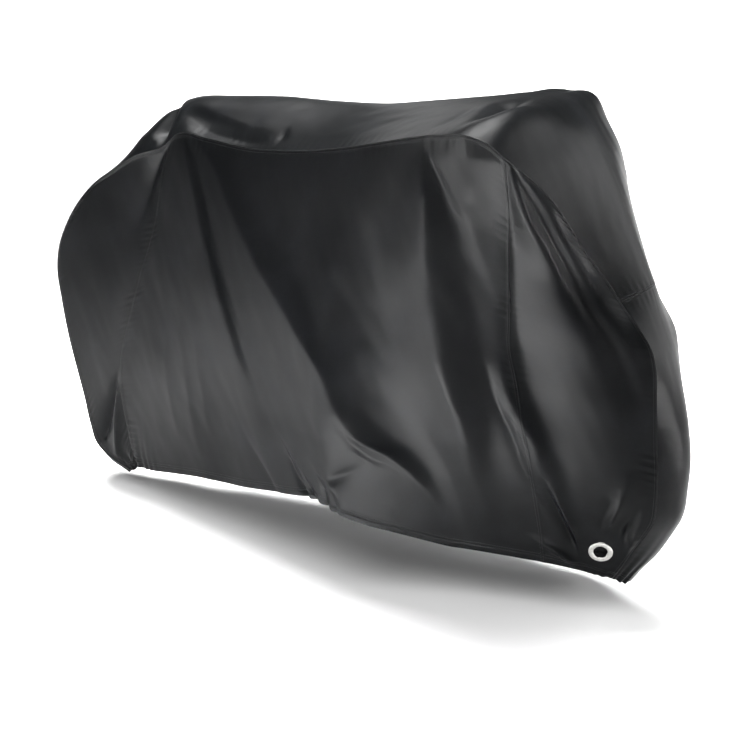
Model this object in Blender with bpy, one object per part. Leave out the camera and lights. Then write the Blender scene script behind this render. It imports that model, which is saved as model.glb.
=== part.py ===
"""Fitted bicycle cover of coated nylon, in the shape in which it hangs over a bicycle.

+X points to the front wheel, +Y to the far side and +Z up. The origin is the
mount under the top, where the bicycle's top tube holds the cloth up. The tables
give heights above the ground, and MOUNT_HEIGHT shifts them to the origin.

The cover is cut as two long sides, each sewn from three panels, and a gusset
that runs from the rear hem, up over the rear wheel, saddle and handlebar, and
down to the front hem. A short front gusset is sewn on over the front wheel. Two
eyelets are clamped into the front panels for a lock.
"""

import math
from collections import namedtuple

import bmesh
import bpy
import numpy as np
from mathutils import Matrix, Vector

for item in list(bpy.data.objects):
    bpy.data.objects.remove(item, do_unlink=True)

# ---------------------------------------------------------------- driving sizes
MOUNT_HEIGHT = 1.0536       # underside of the top above the ground, at x = 0
CLOTH = 0.0014              # cloth thickness
HEM = 0.0030                # thickness at the hem, where the cloth is turned up
HEM_WIDTH = 0.022           # height of the turned hem
SEAM_GAP = 0.0003           # clearance between two sewn panels
ROWS = 20                   # cells from the gusset seam down to the hem
ROW_PACKING = 1.35          # above 1, rows lie closer together near the hem
COLUMNS = {"rear": 8, "middle": 33, "front": 10}
ACROSS = 8                  # cells across the gusset

EYELET_X, EYELET_HEIGHT = 0.679, 0.163
EYELET_OUTER, EYELET_BORE = 0.0262, 0.0150
EYELET_BARREL, EYELET_HOLE = 0.0162, 0.0166
EYELET_FRONT, EYELET_BACK = 0.0020, 0.0012      # flange thicknesses
EYELET_STEPS = 24
FLAT_INNER, FLAT_OUTER = (0.040, 0.050), (0.075, 0.095)   # flat cloth round an eyelet, x and z

CLOTH_COLOUR = (0.030, 0.030, 0.032, 1.0)
METAL_COLOUR = (0.72, 0.72, 0.73, 1.0)

# One row for each place along the gusset, from the rear hem over the top to the
# front hem: the gusset seam on the sides, its half width on the near and the far
# side, the crown of the gusset on the middle plane, and how round it is between
# them (1 is a tent, 2 an arch, more is flat with tight shoulders).
Station = namedtuple("Station", "place seam_x seam_z near far crown_x crown_z bend")
GUSSET = [
    Station("rear hem",      -0.642, 0.052, 0.045, 0.045, -0.672, 0.026, 1.8),
    Station("under tyre",    -0.700, 0.077, 0.052, 0.052, -0.731, 0.049, 1.8),
    Station("tyre low",      -0.741, 0.116, 0.058, 0.058, -0.766, 0.096, 1.8),
    Station("tyre behind",   -0.754, 0.164, 0.060, 0.060, -0.781, 0.150, 1.8),
    Station("rear low",      -0.767, 0.244, 0.062, 0.062, -0.796, 0.234, 1.8),
    Station("rear axle",     -0.784, 0.320, 0.063, 0.063, -0.811, 0.311, 1.8),
    Station("tyre back",     -0.802, 0.407, 0.064, 0.064, -0.829, 0.399, 1.8),
    Station("rear high",     -0.815, 0.502, 0.064, 0.064, -0.840, 0.497, 1.8),
    Station("rear most",     -0.821, 0.589, 0.064, 0.064, -0.846, 0.588, 1.8),
    Station("mudguard",      -0.807, 0.648, 0.065, 0.065, -0.830, 0.652, 1.8),
    Station("rear shoulder", -0.776, 0.706, 0.066, 0.066, -0.794, 0.713, 1.8),
    Station("rear corner",   -0.722, 0.775, 0.068, 0.068, -0.735, 0.776, 1.7),
    Station("rear slope",    -0.666, 0.824, 0.072, 0.072, -0.680, 0.824, 1.6),
    Station("rack",          -0.598, 0.864, 0.080, 0.080, -0.612, 0.880, 1.5),
    Station("light",         -0.520, 0.905, 0.090, 0.088, -0.536, 0.955, 1.5),
    Station("rear seam",     -0.427, 0.936, 0.097, 0.094, -0.446, 1.021, 1.5),
    Station("saddle tail",   -0.369, 0.973, 0.105, 0.100, -0.382, 1.042, 1.6),
    Station("saddle",        -0.292, 0.968, 0.115, 0.108, -0.285, 1.050, 1.5),
    Station("saddle nose",   -0.155, 0.959, 0.135, 0.125, -0.150, 1.056, 1.4),
    Station("top tube",      -0.039, 0.967, 0.155, 0.142, -0.030, 1.055, 1.3),
    Station("shifters",       0.115, 0.990, 0.185, 0.170,  0.112, 1.058, 1.3),
    Station("brake cables",   0.213, 1.013, 0.215, 0.200,  0.210, 1.069, 1.4),
    Station("grips",          0.299, 1.034, 0.250, 0.238,  0.298, 1.080, 1.7),
    Station("brake levers",   0.380, 1.050, 0.285, 0.275,  0.380, 1.089, 2.3),
    Station("bar ends",       0.448, 1.056, 0.306, 0.313,  0.450, 1.093, 5.0),
    Station("bar front",      0.482, 1.046, 0.303, 0.302,  0.497, 1.090, 4.5),
    Station("front seam",     0.518, 1.019, 0.295, 0.258,  0.545, 1.058, 2.2),
    Station("head lamp",      0.571, 0.963, 0.250, 0.206,  0.600, 0.985, 1.9),
    Station("front corner",   0.592, 0.922, 0.215, 0.182,  0.628, 0.935, 1.8),
    Station("fork crown",     0.614, 0.862, 0.170, 0.154,  0.658, 0.874, 1.8),
    Station("mudguard front", 0.637, 0.813, 0.142, 0.134,  0.680, 0.825, 1.8),
    Station("fender",         0.660, 0.769, 0.113, 0.110,  0.700, 0.782, 1.8),
    Station("cross seam",     0.690, 0.717, 0.090, 0.090,  0.723, 0.733, 1.8),
    Station("below cross",    0.729, 0.666, 0.085, 0.085,  0.746, 0.672, 1.8),
    Station("tyre top",       0.754, 0.627, 0.080, 0.080,  0.768, 0.618, 1.8),
    Station("tyre high",      0.765, 0.586, 0.076, 0.076,  0.782, 0.575, 1.8),
    Station("tyre front",     0.771, 0.523, 0.075, 0.075,  0.800, 0.515, 1.8),
    Station("front most",     0.779, 0.424, 0.075, 0.076,  0.822, 0.428, 1.8),
    Station("axle",           0.786, 0.357, 0.075, 0.077,  0.830, 0.362, 1.8),
    Station("rim",            0.788, 0.304, 0.075, 0.077,  0.829, 0.298, 1.8),
    Station("tyre lower",     0.785, 0.254, 0.073, 0.076,  0.825, 0.244, 1.8),
    Station("tuck top",       0.766, 0.211, 0.070, 0.073,  0.806, 0.198, 1.8),
    Station("tuck",           0.743, 0.170, 0.065, 0.068,  0.780, 0.148, 1.8),
    Station("tuck low",       0.714, 0.116, 0.058, 0.060,  0.744, 0.096, 1.8),
    Station("front hem",      0.698, 0.091, 0.053, 0.054,  0.722, 0.064, 1.8),
]

# The hem of one side from the rear to the front: half width is its distance from
# the middle plane.
HemPoint = namedtuple("HemPoint", "place x z half")
HEM_LINE = [
    HemPoint("rear gusset",  -0.640, 0.058, 0.045),
    HemPoint("rear seam",    -0.605, 0.072, 0.060),
    HemPoint("rear tyre",    -0.545, 0.082, 0.075),
    HemPoint("rear hub",     -0.446, 0.105, 0.100),
    HemPoint("rear mech",    -0.347, 0.126, 0.125),
    HemPoint("chain stay",   -0.217, 0.144, 0.150),
    HemPoint("crank",        -0.065, 0.176, 0.190),
    HemPoint("pedal rear",    0.041, 0.193, 0.215),
    HemPoint("pedal",         0.079, 0.191, 0.225),
    HemPoint("pedal front",   0.114, 0.184, 0.235),
    HemPoint("down tube",     0.172, 0.171, 0.225),
    HemPoint("wheel gap",     0.235, 0.158, 0.205),
    HemPoint("tyre rear",     0.297, 0.143, 0.180),
    HemPoint("rim rear",      0.358, 0.130, 0.155),
    HemPoint("spokes",        0.446, 0.126, 0.135),
    HemPoint("front hub",     0.499, 0.121, 0.120),
    HemPoint("front seam",    0.563, 0.118, 0.105),
    HemPoint("eyelet",        0.626, 0.112, 0.088),
    HemPoint("tuck",          0.668, 0.100, 0.070),
    HemPoint("front gusset",  0.698, 0.091, 0.053),
]

# The two upright seams of one side, from the gusset seam down to the hem.
SeamPoint = namedtuple("SeamPoint", "place x z half")
REAR_SEAM = [
    SeamPoint("top",      -0.427, 0.936, 0.097),
    SeamPoint("saddle",   -0.447, 0.832, 0.102),
    SeamPoint("stay",     -0.469, 0.738, 0.105),
    SeamPoint("tyre",     -0.517, 0.626, 0.105),
    SeamPoint("rim",      -0.571, 0.493, 0.100),
    SeamPoint("hub",      -0.612, 0.379, 0.092),
    SeamPoint("tuck",     -0.623, 0.325, 0.088),
    SeamPoint("below",    -0.624, 0.254, 0.080),
    SeamPoint("spokes",   -0.621, 0.180, 0.070),
    SeamPoint("low",      -0.614, 0.099, 0.062),
    SeamPoint("hem",      -0.605, 0.072, 0.060),
]
FRONT_SEAM = [
    SeamPoint("top",       0.518, 1.019, 0.295),
    SeamPoint("bar end",   0.517, 0.977, 0.285),
    SeamPoint("lever",     0.517, 0.929, 0.272),
    SeamPoint("fork",      0.509, 0.837, 0.245),
    SeamPoint("tyre top",  0.499, 0.665, 0.205),
    SeamPoint("tyre",      0.496, 0.620, 0.196),
    SeamPoint("rim",       0.507, 0.549, 0.182),
    SeamPoint("spokes",    0.523, 0.451, 0.163),
    SeamPoint("hub",       0.536, 0.380, 0.152),
    SeamPoint("below",     0.545, 0.300, 0.138),
    SeamPoint("low",       0.558, 0.190, 0.117),
    SeamPoint("hem",       0.563, 0.118, 0.105),
]

# Folds of the hanging cloth. Each is a ridge (rise over 0) or a trough along a
# line, with its width and rise at each point of it: in x and height on a side,
# and in x and y on top of the gusset. Lean over 0 makes its front slope steeper.
Fold = namedtuple("Fold", "place lean line")
Crease = namedtuple("Crease", "x across width rise")
NEAR_FOLDS = [
    Fold("saddle tail trough", 0.0, [Crease(-0.383, 0.955, 0.020, -0.003), Crease(-0.430, 0.800, 0.030, -0.010),
                                     Crease(-0.500, 0.600, 0.045, -0.014), Crease(-0.560, 0.380, 0.050, -0.008)]),
    Fold("saddle ridge",       0.4, [Crease(-0.345, 0.945, 0.020, 0.003), Crease(-0.285, 0.760, 0.045, 0.010),
                                     Crease(-0.230, 0.540, 0.065, 0.016), Crease(-0.190, 0.300, 0.080, 0.014)]),
    Fold("saddle trough",     -0.3, [Crease(-0.353, 0.966, 0.018, -0.004), Crease(-0.260, 0.778, 0.030, -0.014),
                                     Crease(-0.175, 0.547, 0.045, -0.022), Crease(-0.070, 0.300, 0.060, -0.016)]),
    Fold("long ridge",         0.2, [Crease(-0.250, 0.930, 0.040, 0.004), Crease(-0.090, 0.700, 0.065, 0.014),
                                     Crease(0.080, 0.490, 0.070, 0.024), Crease(0.165, 0.365, 0.062, 0.026),
                                     Crease(0.270, 0.280, 0.055, 0.018), Crease(0.345, 0.190, 0.050, 0.010)]),
    Fold("middle valley",      0.0, [Crease(0.060, 0.930, 0.080, -0.006), Crease(0.200, 0.600, 0.075, -0.016),
                                     Crease(0.290, 0.420, 0.055, -0.014)]),
    Fold("lever ridge",        0.4, [Crease(0.330, 0.990, 0.025, 0.006), Crease(0.338, 0.800, 0.050, 0.020),
                                     Crease(0.352, 0.600, 0.062, 0.030), Crease(0.385, 0.450, 0.055, 0.028),
                                     Crease(0.398, 0.300, 0.048, 0.020), Crease(0.400, 0.150, 0.045, 0.010)]),
    Fold("bar valley",         0.0, [Crease(0.400, 0.980, 0.020, -0.006), Crease(0.418, 0.800, 0.035, -0.020),
                                     Crease(0.440, 0.600, 0.045, -0.026), Crease(0.455, 0.400, 0.040, -0.020),
                                     Crease(0.475, 0.250, 0.035, -0.008)]),
    Fold("narrow ridge",       0.2, [Crease(0.470, 0.800, 0.018, 0.004), Crease(0.470, 0.600, 0.024, 0.012),
                                     Crease(0.505, 0.465, 0.026, 0.014), Crease(0.560, 0.320, 0.024, 0.010),
                                     Crease(0.605, 0.225, 0.020, 0.006)]),
    Fold("front panel ridge",  0.3, [Crease(0.535, 0.930, 0.022, 0.004), Crease(0.590, 0.750, 0.035, 0.012),
                                     Crease(0.660, 0.570, 0.045, 0.018), Crease(0.722, 0.420, 0.040, 0.014),
                                     Crease(0.750, 0.330, 0.030, 0.006)]),
    Fold("front panel trough", 0.0, [Crease(0.590, 0.860, 0.018, -0.006), Crease(0.650, 0.735, 0.024, -0.012),
                                     Crease(0.700, 0.610, 0.025, -0.008)]),
    Fold("front foot trough",  0.0, [Crease(0.590, 0.500, 0.040, -0.008), Crease(0.640, 0.360, 0.035, -0.014),
                                     Crease(0.685, 0.265, 0.030, -0.008)]),
    Fold("pedal bulge",        0.0, [Crease(0.060, 0.300, 0.050, 0.004), Crease(0.100, 0.190, 0.050, 0.014)]),
    Fold("hem gather",         0.0, [Crease(0.000, 0.270, 0.020, -0.006), Crease(0.030, 0.195, 0.022, -0.012)]),
    Fold("hem hollow",         0.0, [Crease(-0.330, 0.240, 0.040, -0.006), Crease(-0.360, 0.120, 0.050, -0.014)]),
    Fold("rear tuck",          0.0, [Crease(-0.630, 0.330, 0.020, -0.004), Crease(-0.690, 0.190, 0.028, -0.014),
                                     Crease(-0.715, 0.120, 0.022, -0.010)]),
    Fold("rear panel crease",  0.0, [Crease(-0.440, 0.900, 0.015, -0.004), Crease(-0.530, 0.740, 0.030, -0.010),
                                     Crease(-0.650, 0.560, 0.040, -0.006)]),
]
FAR_FOLDS = [
    Fold("saddle trough",      0.0, [Crease(-0.370, 0.950, 0.020, -0.004), Crease(-0.390, 0.700, 0.045, -0.014),
                                     Crease(-0.440, 0.400, 0.060, -0.018), Crease(-0.460, 0.120, 0.060, -0.012)]),
    Fold("long ridge",        -0.3, [Crease(-0.300, 0.930, 0.030, 0.004), Crease(-0.160, 0.650, 0.060, 0.018),
                                     Crease(-0.020, 0.400, 0.070, 0.024), Crease(0.060, 0.200, 0.060, 0.014)]),
    Fold("middle valley",      0.0, [Crease(0.000, 0.930, 0.060, -0.006), Crease(0.120, 0.550, 0.070, -0.020),
                                     Crease(0.190, 0.200, 0.060, -0.014)]),
    Fold("lever ridge",       -0.4, [Crease(0.360, 1.000, 0.025, 0.006), Crease(0.330, 0.750, 0.050, 0.024),
                                     Crease(0.320, 0.450, 0.060, 0.028), Crease(0.330, 0.180, 0.045, 0.012)]),
    Fold("bar valley",         0.0, [Crease(0.430, 0.980, 0.020, -0.006), Crease(0.440, 0.650, 0.045, -0.024),
                                     Crease(0.450, 0.350, 0.045, -0.018), Crease(0.470, 0.150, 0.040, -0.006)]),
    Fold("front panel ridge",  0.2, [Crease(0.550, 0.900, 0.022, 0.004), Crease(0.620, 0.650, 0.040, 0.014),
                                     Crease(0.690, 0.420, 0.045, 0.012), Crease(0.730, 0.300, 0.035, 0.004)]),
    Fold("rear tuck",          0.0, [Crease(-0.600, 0.600, 0.030, -0.005), Crease(-0.680, 0.330, 0.040, -0.012),
                                     Crease(-0.690, 0.130, 0.030, -0.008)]),
]
GUSSET_FOLDS = [
    Fold("saddle tail pleat",  0.0, [Crease(-0.455, 0.020, 0.018, -0.004), Crease(-0.450, -0.060, 0.020, -0.014)]),
    Fold("saddle hollow",      0.0, [Crease(-0.380, -0.062, 0.022, -0.006), Crease(-0.300, -0.086, 0.028, -0.014),
                                     Crease(-0.190, -0.105, 0.028, -0.006)]),
    Fold("far hollow",         0.0, [Crease(-0.360, 0.055, 0.024, -0.004), Crease(-0.240, 0.075, 0.030, -0.012),
                                     Crease(-0.080, 0.095, 0.035, -0.006)]),
    Fold("bar trough",         0.0, [Crease(0.425, -0.240, 0.026, -0.006), Crease(0.440, -0.120, 0.030, -0.010)]),
]


# ---------------------------------------------------------------- curves
def smooth_line(points, lengths, at):
    """Read a smooth curve through points, which lie at the given lengths, at new lengths."""
    points = np.asarray(points, float)
    slopes = np.gradient(points, lengths, axis=0)
    index = np.clip(np.searchsorted(lengths, at, side="right") - 1, 0, len(lengths) - 2)
    step = (lengths[index + 1] - lengths[index])[:, None]
    s = ((at - lengths[index]) / step[:, 0])[:, None]
    h00, h10 = 2 * s**3 - 3 * s**2 + 1, s**3 - 2 * s**2 + s
    h01, h11 = -2 * s**3 + 3 * s**2, s**3 - s**2
    return (h00 * points[index] + h10 * step * slopes[index]
            + h01 * points[index + 1] + h11 * step * slopes[index + 1])


def run_lengths(points):
    """Length along a line of points up to each one."""
    steps = np.linalg.norm(np.diff(np.asarray(points, float), axis=0), axis=1)
    return np.concatenate([[0.0], np.cumsum(steps)])


def row_fractions(length):
    """Fractions down a side at which its rows lie: close together near the hem, then the hem itself."""
    band = HEM_WIDTH / length
    even = np.linspace(0.0, 1.0, ROWS)
    packed = 1.0 - (1.0 - even) ** ROW_PACKING
    return np.concatenate([packed * (1.0 - band), [1.0]])


def smooth_step(value):
    value = np.clip(value, 0.0, 1.0)
    return value * value * (3.0 - 2.0 * value)


# ---------------------------------------------------------------- surfaces
def gusset_lengths():
    """Lengths along the gusset seam of the sides' corners, and of every station the rows and columns need."""
    seam = np.array([(s.seam_x, s.seam_z) for s in GUSSET])
    lengths = run_lengths(seam)
    place = {s.place: length for s, length in zip(GUSSET, lengths)}
    corners = [0.0, place["rear corner"], place["rear seam"], place["front seam"], place["front corner"], lengths[-1]]
    rear_up = corners[1] * (1.0 - row_fractions(corners[1])[::-1])
    front_run = corners[5] - corners[4]
    front_down = corners[4] + front_run * row_fractions(front_run)
    spans = [rear_up]
    for key, start, end in zip(COLUMNS, corners[1:4], corners[2:5]):
        spans.append(np.linspace(start, end, COLUMNS[key] + 1)[1:])
    spans.append(front_down[1:])
    return lengths, np.concatenate(spans)


def gusset_grid():
    """Outer surface of the whole gusset: one row for each station, near seam to far seam."""
    lengths, at = gusset_lengths()
    table = [(s.seam_x, s.seam_z, s.near, s.far, s.crown_x, s.crown_z, s.bend) for s in GUSSET]
    seam_x, seam_z, near, far, crown_x, crown_z, bend = smooth_line(table, lengths, at).T
    across = np.linspace(-1.0, 1.0, ACROSS + 1)
    grid = np.empty((len(at), ACROSS + 1, 3))
    for i, t in enumerate(across):
        fall = np.abs(t) ** bend
        grid[:, i, 0] = crown_x + (seam_x - crown_x) * fall
        grid[:, i, 1] = t * np.where(t < 0, near, far)
        grid[:, i, 2] = crown_z + (seam_z - crown_z) * fall
    return grid


def fill_patch(top, bottom, left, right):
    """Even surface inside four edges: top and bottom run rear to front, left and right run down."""
    rows, columns = len(left), len(top)
    u = np.linspace(0.0, 1.0, columns)[None, :, None]
    v = row_fractions(0.85)[:, None, None]
    across = (1 - v) * top[None] + v * bottom[None]
    down = (1 - u) * left[:, None] + u * right[:, None]
    corners = ((1 - u) * (1 - v) * top[0] + u * (1 - v) * top[-1]
               + (1 - u) * v * bottom[0] + u * v * bottom[-1])
    return across + down - corners


def side_grid(edge, sign):
    """Outer surface of one side before its folds. edge is the gusset's edge on that side."""
    edge = edge * (1.0, sign, 1.0)
    rear, top, front = edge[:ROWS + 1][::-1], edge[ROWS:-ROWS], edge[-ROWS - 1:]

    def upright(table, start):
        points = np.array([(p.x, p.half, p.z) for p in table])
        points[0] = start
        lengths = run_lengths(points)
        return smooth_line(points, lengths, lengths[-1] * row_fractions(lengths[-1]))

    splits = np.cumsum([0] + list(COLUMNS.values()))
    uprights = [rear, upright(REAR_SEAM, top[splits[1]]), upright(FRONT_SEAM, top[splits[2]]), front]

    hem = np.array([(p.x, p.half, p.z) for p in HEM_LINE])
    hem_lengths = run_lengths(hem)
    place = {p.place: length for p, length in zip(HEM_LINE, hem_lengths)}
    marks = [0.0, place["rear seam"], place["front seam"], hem_lengths[-1]]

    patches = []
    for i, count in enumerate(COLUMNS.values()):
        bottom = smooth_line(hem, hem_lengths, np.linspace(marks[i], marks[i + 1], count + 1))
        bottom[0], bottom[-1] = uprights[i][-1], uprights[i + 1][-1]
        patch = fill_patch(top[splits[i]:splits[i + 1] + 1], bottom, uprights[i], uprights[i + 1])
        patches.append(patch if i == 0 else patch[:, 1:])
    return np.concatenate(patches, axis=1) * (1.0, sign, 1.0)


def grid_normals(grid):
    """Unit normals at the points of a grid, from the directions along its rows and columns."""
    normal = np.cross(np.gradient(grid, axis=1), np.gradient(grid, axis=0))
    return normal / np.linalg.norm(normal, axis=2, keepdims=True)


def fold_rise(folds, x, across):
    """How far the folds lift the cloth at each point."""
    total = np.zeros_like(x)
    for fold in folds:
        nearest = np.full_like(x, np.inf)
        rise = np.zeros_like(x)
        for a, b in zip(fold.line, fold.line[1:]):
            run_x, run_across = b.x - a.x, b.across - a.across
            length = math.hypot(run_x, run_across)
            along = ((x - a.x) * run_x + (across - a.across) * run_across) / length
            beside = ((across - a.across) * run_x - (x - a.x) * run_across) / length
            t = np.clip(along / length, 0.0, 1.0)
            beyond = along - t * length
            width = (a.width + (b.width - a.width) * t) * np.where(beside > 0, 1.0 - fold.lean, 1.0 + fold.lean)
            height = a.rise + (b.rise - a.rise) * t
            distance = np.hypot(beside, beyond)
            closer = distance < nearest
            here = height * np.exp(-(beside / width) ** 2 - (beyond / width) ** 2)
            rise = np.where(closer, here, rise)
            nearest = np.where(closer, distance, nearest)
        total += rise
    return total


def folded_gusset(grid):
    """Lay the folds on the gusset, which keeps its two long edges."""
    normal = grid_normals(grid)
    normal *= np.sign(normal[len(grid) // 2, ACROSS // 2, 2])
    top = smooth_step((grid[..., 2] - 0.90) / 0.05)
    across = np.arange(ACROSS + 1)
    hold = smooth_step(np.minimum(across, across[::-1]) / 2.0)[None, :]
    rise = fold_rise(GUSSET_FOLDS, grid[..., 0], grid[..., 1]) * hold * top
    return grid + normal * rise[..., None]


def folded_side(grid, folds, sign):
    """Lay the folds on a side, and the flat ground round its eyelet."""
    normal = grid_normals(grid)
    normal *= np.sign(normal[..., 1:2] * sign)
    rows, columns = grid.shape[:2]
    down = np.minimum(np.arange(rows), 3) / 3.0
    along = np.minimum(np.minimum(np.arange(columns), np.arange(columns)[::-1]), 3) / 3.0
    hold = smooth_step(down)[:, None] * smooth_step(along)[None, :]
    rise = fold_rise(folds, grid[..., 0], grid[..., 2]) * hold
    folded = grid + normal * rise[..., None]

    x, z = folded[..., 0] - EYELET_X, folded[..., 2] - EYELET_HEIGHT
    centre, axis = eyelet_plane(folded, sign)
    reach = np.hypot(x / FLAT_INNER[0], z / FLAT_INNER[1])
    limit = FLAT_OUTER[0] / FLAT_INNER[0]
    ground = 1.0 - smooth_step((reach - 1.0) / (limit - 1.0))
    inner = np.ones_like(ground)
    inner[:, -1] = 0.0
    off = ((folded - centre) @ axis)
    return folded - (off * ground * inner)[..., None] * axis, (centre, axis)


def eyelet_plane(grid, sign):
    """Middle and outward axis of the eyelet on a side."""
    x, z = grid[..., 0] - EYELET_X, grid[..., 2] - EYELET_HEIGHT
    near = np.exp(-((x / 0.03) ** 2 + (z / 0.03) ** 2))
    normal = grid_normals(grid)
    normal *= np.sign(normal[..., 1:2] * sign)
    axis = (normal * near[..., None]).sum(axis=(0, 1))
    axis /= np.linalg.norm(axis)
    middle = (grid * near[..., None]).sum(axis=(0, 1)) / near.sum()
    centre = np.array([EYELET_X, middle[1], EYELET_HEIGHT])
    centre[1] -= ((centre - middle) @ axis) / axis[1]
    return centre, axis


# ---------------------------------------------------------------- whole surface
def shared_normals(near, far, gusset):
    """Outward normals at the points of the three grids, shared where they are sewn together."""
    def cell_sums(grid, flip):
        """Sum, at each point, of the area vectors of the cells round it."""
        a, b, c, d = grid[:-1, :-1], grid[:-1, 1:], grid[1:, 1:], grid[1:, :-1]
        area = np.cross(c - a, d - b) * (-1.0 if flip else 1.0)
        total = np.zeros_like(grid)
        for i in (slice(0, -1), slice(1, None)):
            for j in (slice(0, -1), slice(1, None)):
                total[i, j] += area
        return total

    sums = [cell_sums(near, True), cell_sums(far, False), cell_sums(gusset, True)]
    if (sums[0][..., 1].sum() > 0):
        sums[0] *= -1.0
    if (sums[1][..., 1].sum() < 0):
        sums[1] *= -1.0
    middle = sums[2][len(gusset) // 2]
    if middle[..., 2].sum() < 0:
        sums[2] *= -1.0
    for side, column in ((sums[0], 0), (sums[1], -1)):
        border = np.concatenate([side[::-1, 0], side[0, 1:], side[1:, -1]])
        both = border + sums[2][:, column]
        sums[2][:, column] = both
        rows = side.shape[0]
        side[::-1, 0] = both[:rows]
        side[0, :] = both[rows - 1:rows - 1 + side.shape[1]]
        side[:, -1] = both[-rows:]
    return [s / np.linalg.norm(s, axis=2, keepdims=True) for s in sums]


def set_back(points, normals, sewn):
    """Draw the sewn edges of a panel back by half the seam gap, along the surface."""
    moved = points.copy()
    edges = {"top": ((0, slice(None)), (1, slice(None))), "bottom": ((-1, slice(None)), (-2, slice(None))),
             "left": ((slice(None), 0), (slice(None), 1)), "right": ((slice(None), -1), (slice(None), -2))}
    for name in sewn:
        edge, inside = edges[name]
        tangent = np.gradient(points[edge], axis=0)
        across = np.cross(normals[edge], tangent)
        across /= np.linalg.norm(across, axis=1, keepdims=True)
        inward = points[inside] - points[edge]
        across *= np.sign((inward * across).sum(axis=1, keepdims=True))
        moved[edge] += across * SEAM_GAP / 2
    return moved


def panel_object(name, points, normals, thickness, sewn, material):
    """Closed sheet between a grid of outer points and the same grid moved in by its thickness."""
    outer = set_back(points, normals, sewn)
    inner = outer - normals * thickness[..., None]
    rows, columns = points.shape[:2]
    mesh = bmesh.new()
    lift = Vector((0.0, 0.0, -MOUNT_HEIGHT))
    layers = [[[mesh.verts.new(Vector(p) + lift) for p in row] for row in layer] for layer in (outer, inner)]
    for i in range(rows - 1):
        for j in range(columns - 1):
            # A cell is split along the diagonal that the cloth bends less on, the same on both faces.
            first = normals[i, j] @ normals[i + 1, j + 1] >= normals[i, j + 1] @ normals[i + 1, j]
            for layer, order in zip(layers, (1, -1)):
                a, b, c, d = layer[i][j], layer[i][j + 1], layer[i + 1][j + 1], layer[i + 1][j]
                for corners in ([a, b, c], [a, c, d]) if first else ([a, b, d], [b, c, d]):
                    mesh.faces.new(corners[::order])
    rim = ([(0, j) for j in range(columns)] + [(i, columns - 1) for i in range(1, rows)]
           + [(rows - 1, j) for j in range(columns - 2, -1, -1)] + [(i, 0) for i in range(rows - 2, 0, -1)])
    for (i, j), (k, m) in zip(rim, rim[1:] + rim[:1]):
        mesh.faces.new((layers[0][k][m], layers[0][i][j], layers[1][i][j], layers[1][k][m]))
    bmesh.ops.recalc_face_normals(mesh, faces=mesh.faces[:])
    return finish_object(name, mesh, material)


def finish_object(name, mesh, material):
    data = bpy.data.meshes.new(name)
    mesh.to_mesh(data)
    mesh.free()
    data.materials.append(material)
    data.shade_smooth()
    data.set_sharp_from_angle(angle=math.radians(50))
    thing = bpy.data.objects.new(name, data)
    bpy.context.scene.collection.objects.link(thing)
    return thing


def finish(name, colour, roughness, metallic):
    material = bpy.data.materials.new(name)
    material.use_nodes = True
    shader = material.node_tree.nodes["Principled BSDF"]
    shader.inputs["Base Color"].default_value = colour
    shader.inputs["Roughness"].default_value = roughness
    shader.inputs["Metallic"].default_value = metallic
    return material


# ---------------------------------------------------------------- eyelets
def eyelet_place(centre, axis):
    """Matrix that puts an eyelet's own z along the cloth's outward axis."""
    turn = Vector(axis).to_track_quat("Z", "Y").to_matrix().to_4x4()
    return Matrix.Translation(Vector(centre) - Vector((0.0, 0.0, MOUNT_HEIGHT))) @ turn


def cut_hole(panel, place):
    """Cut the eyelet's hole through a panel."""
    mesh = bmesh.new()
    bmesh.ops.create_cone(mesh, cap_ends=True, segments=EYELET_STEPS, radius1=EYELET_HOLE, radius2=EYELET_HOLE,
                          depth=0.02, matrix=place)
    data = bpy.data.meshes.new(panel.name + "_punch")
    mesh.to_mesh(data)
    mesh.free()
    punch = bpy.data.objects.new(panel.name + "_punch", data)
    bpy.context.scene.collection.objects.link(punch)
    punch.hide_render = True
    punch.display_type = "WIRE"
    cut = panel.modifiers.new("eyelet hole", "BOOLEAN")
    cut.object = punch
    cut.operation = "DIFFERENCE"


def eyelet_object(name, place, material):
    """Turned eyelet: a front flange and a back washer clamping the cloth, joined by a barrel through its hole."""
    front, back = SEAM_GAP, -CLOTH - SEAM_GAP
    rim = EYELET_OUTER - EYELET_BORE
    profile = [
        (EYELET_BORE, back - EYELET_BACK * 0.6), (EYELET_BORE + 0.0006, back - EYELET_BACK),
        (EYELET_OUTER - 0.0020, back - EYELET_BACK), (EYELET_OUTER - 0.0014, back),
        (EYELET_BARREL, back), (EYELET_BARREL, front),
        (EYELET_OUTER, front), (EYELET_OUTER - 0.0004, front + EYELET_FRONT * 0.55),
        (EYELET_OUTER - 0.0022, front + EYELET_FRONT), (EYELET_BORE + rim * 0.22, front + EYELET_FRONT),
        (EYELET_BORE + 0.0004, front + EYELET_FRONT * 0.65), (EYELET_BORE, front + EYELET_FRONT * 0.1),
    ]
    mesh = bmesh.new()
    verts = [mesh.verts.new((r, 0.0, h)) for r, h in profile]
    edges = [mesh.edges.new((a, b)) for a, b in zip(verts, verts[1:] + verts[:1])]
    bmesh.ops.spin(mesh, geom=verts + edges, cent=(0, 0, 0), axis=(0, 0, 1), angle=math.tau,
                   steps=EYELET_STEPS, use_merge=True)
    bmesh.ops.remove_doubles(mesh, verts=mesh.verts[:], dist=1e-6)
    bmesh.ops.transform(mesh, matrix=place, verts=mesh.verts[:])
    bmesh.ops.recalc_face_normals(mesh, faces=mesh.faces[:])
    return finish_object(name, mesh, material)


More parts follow.
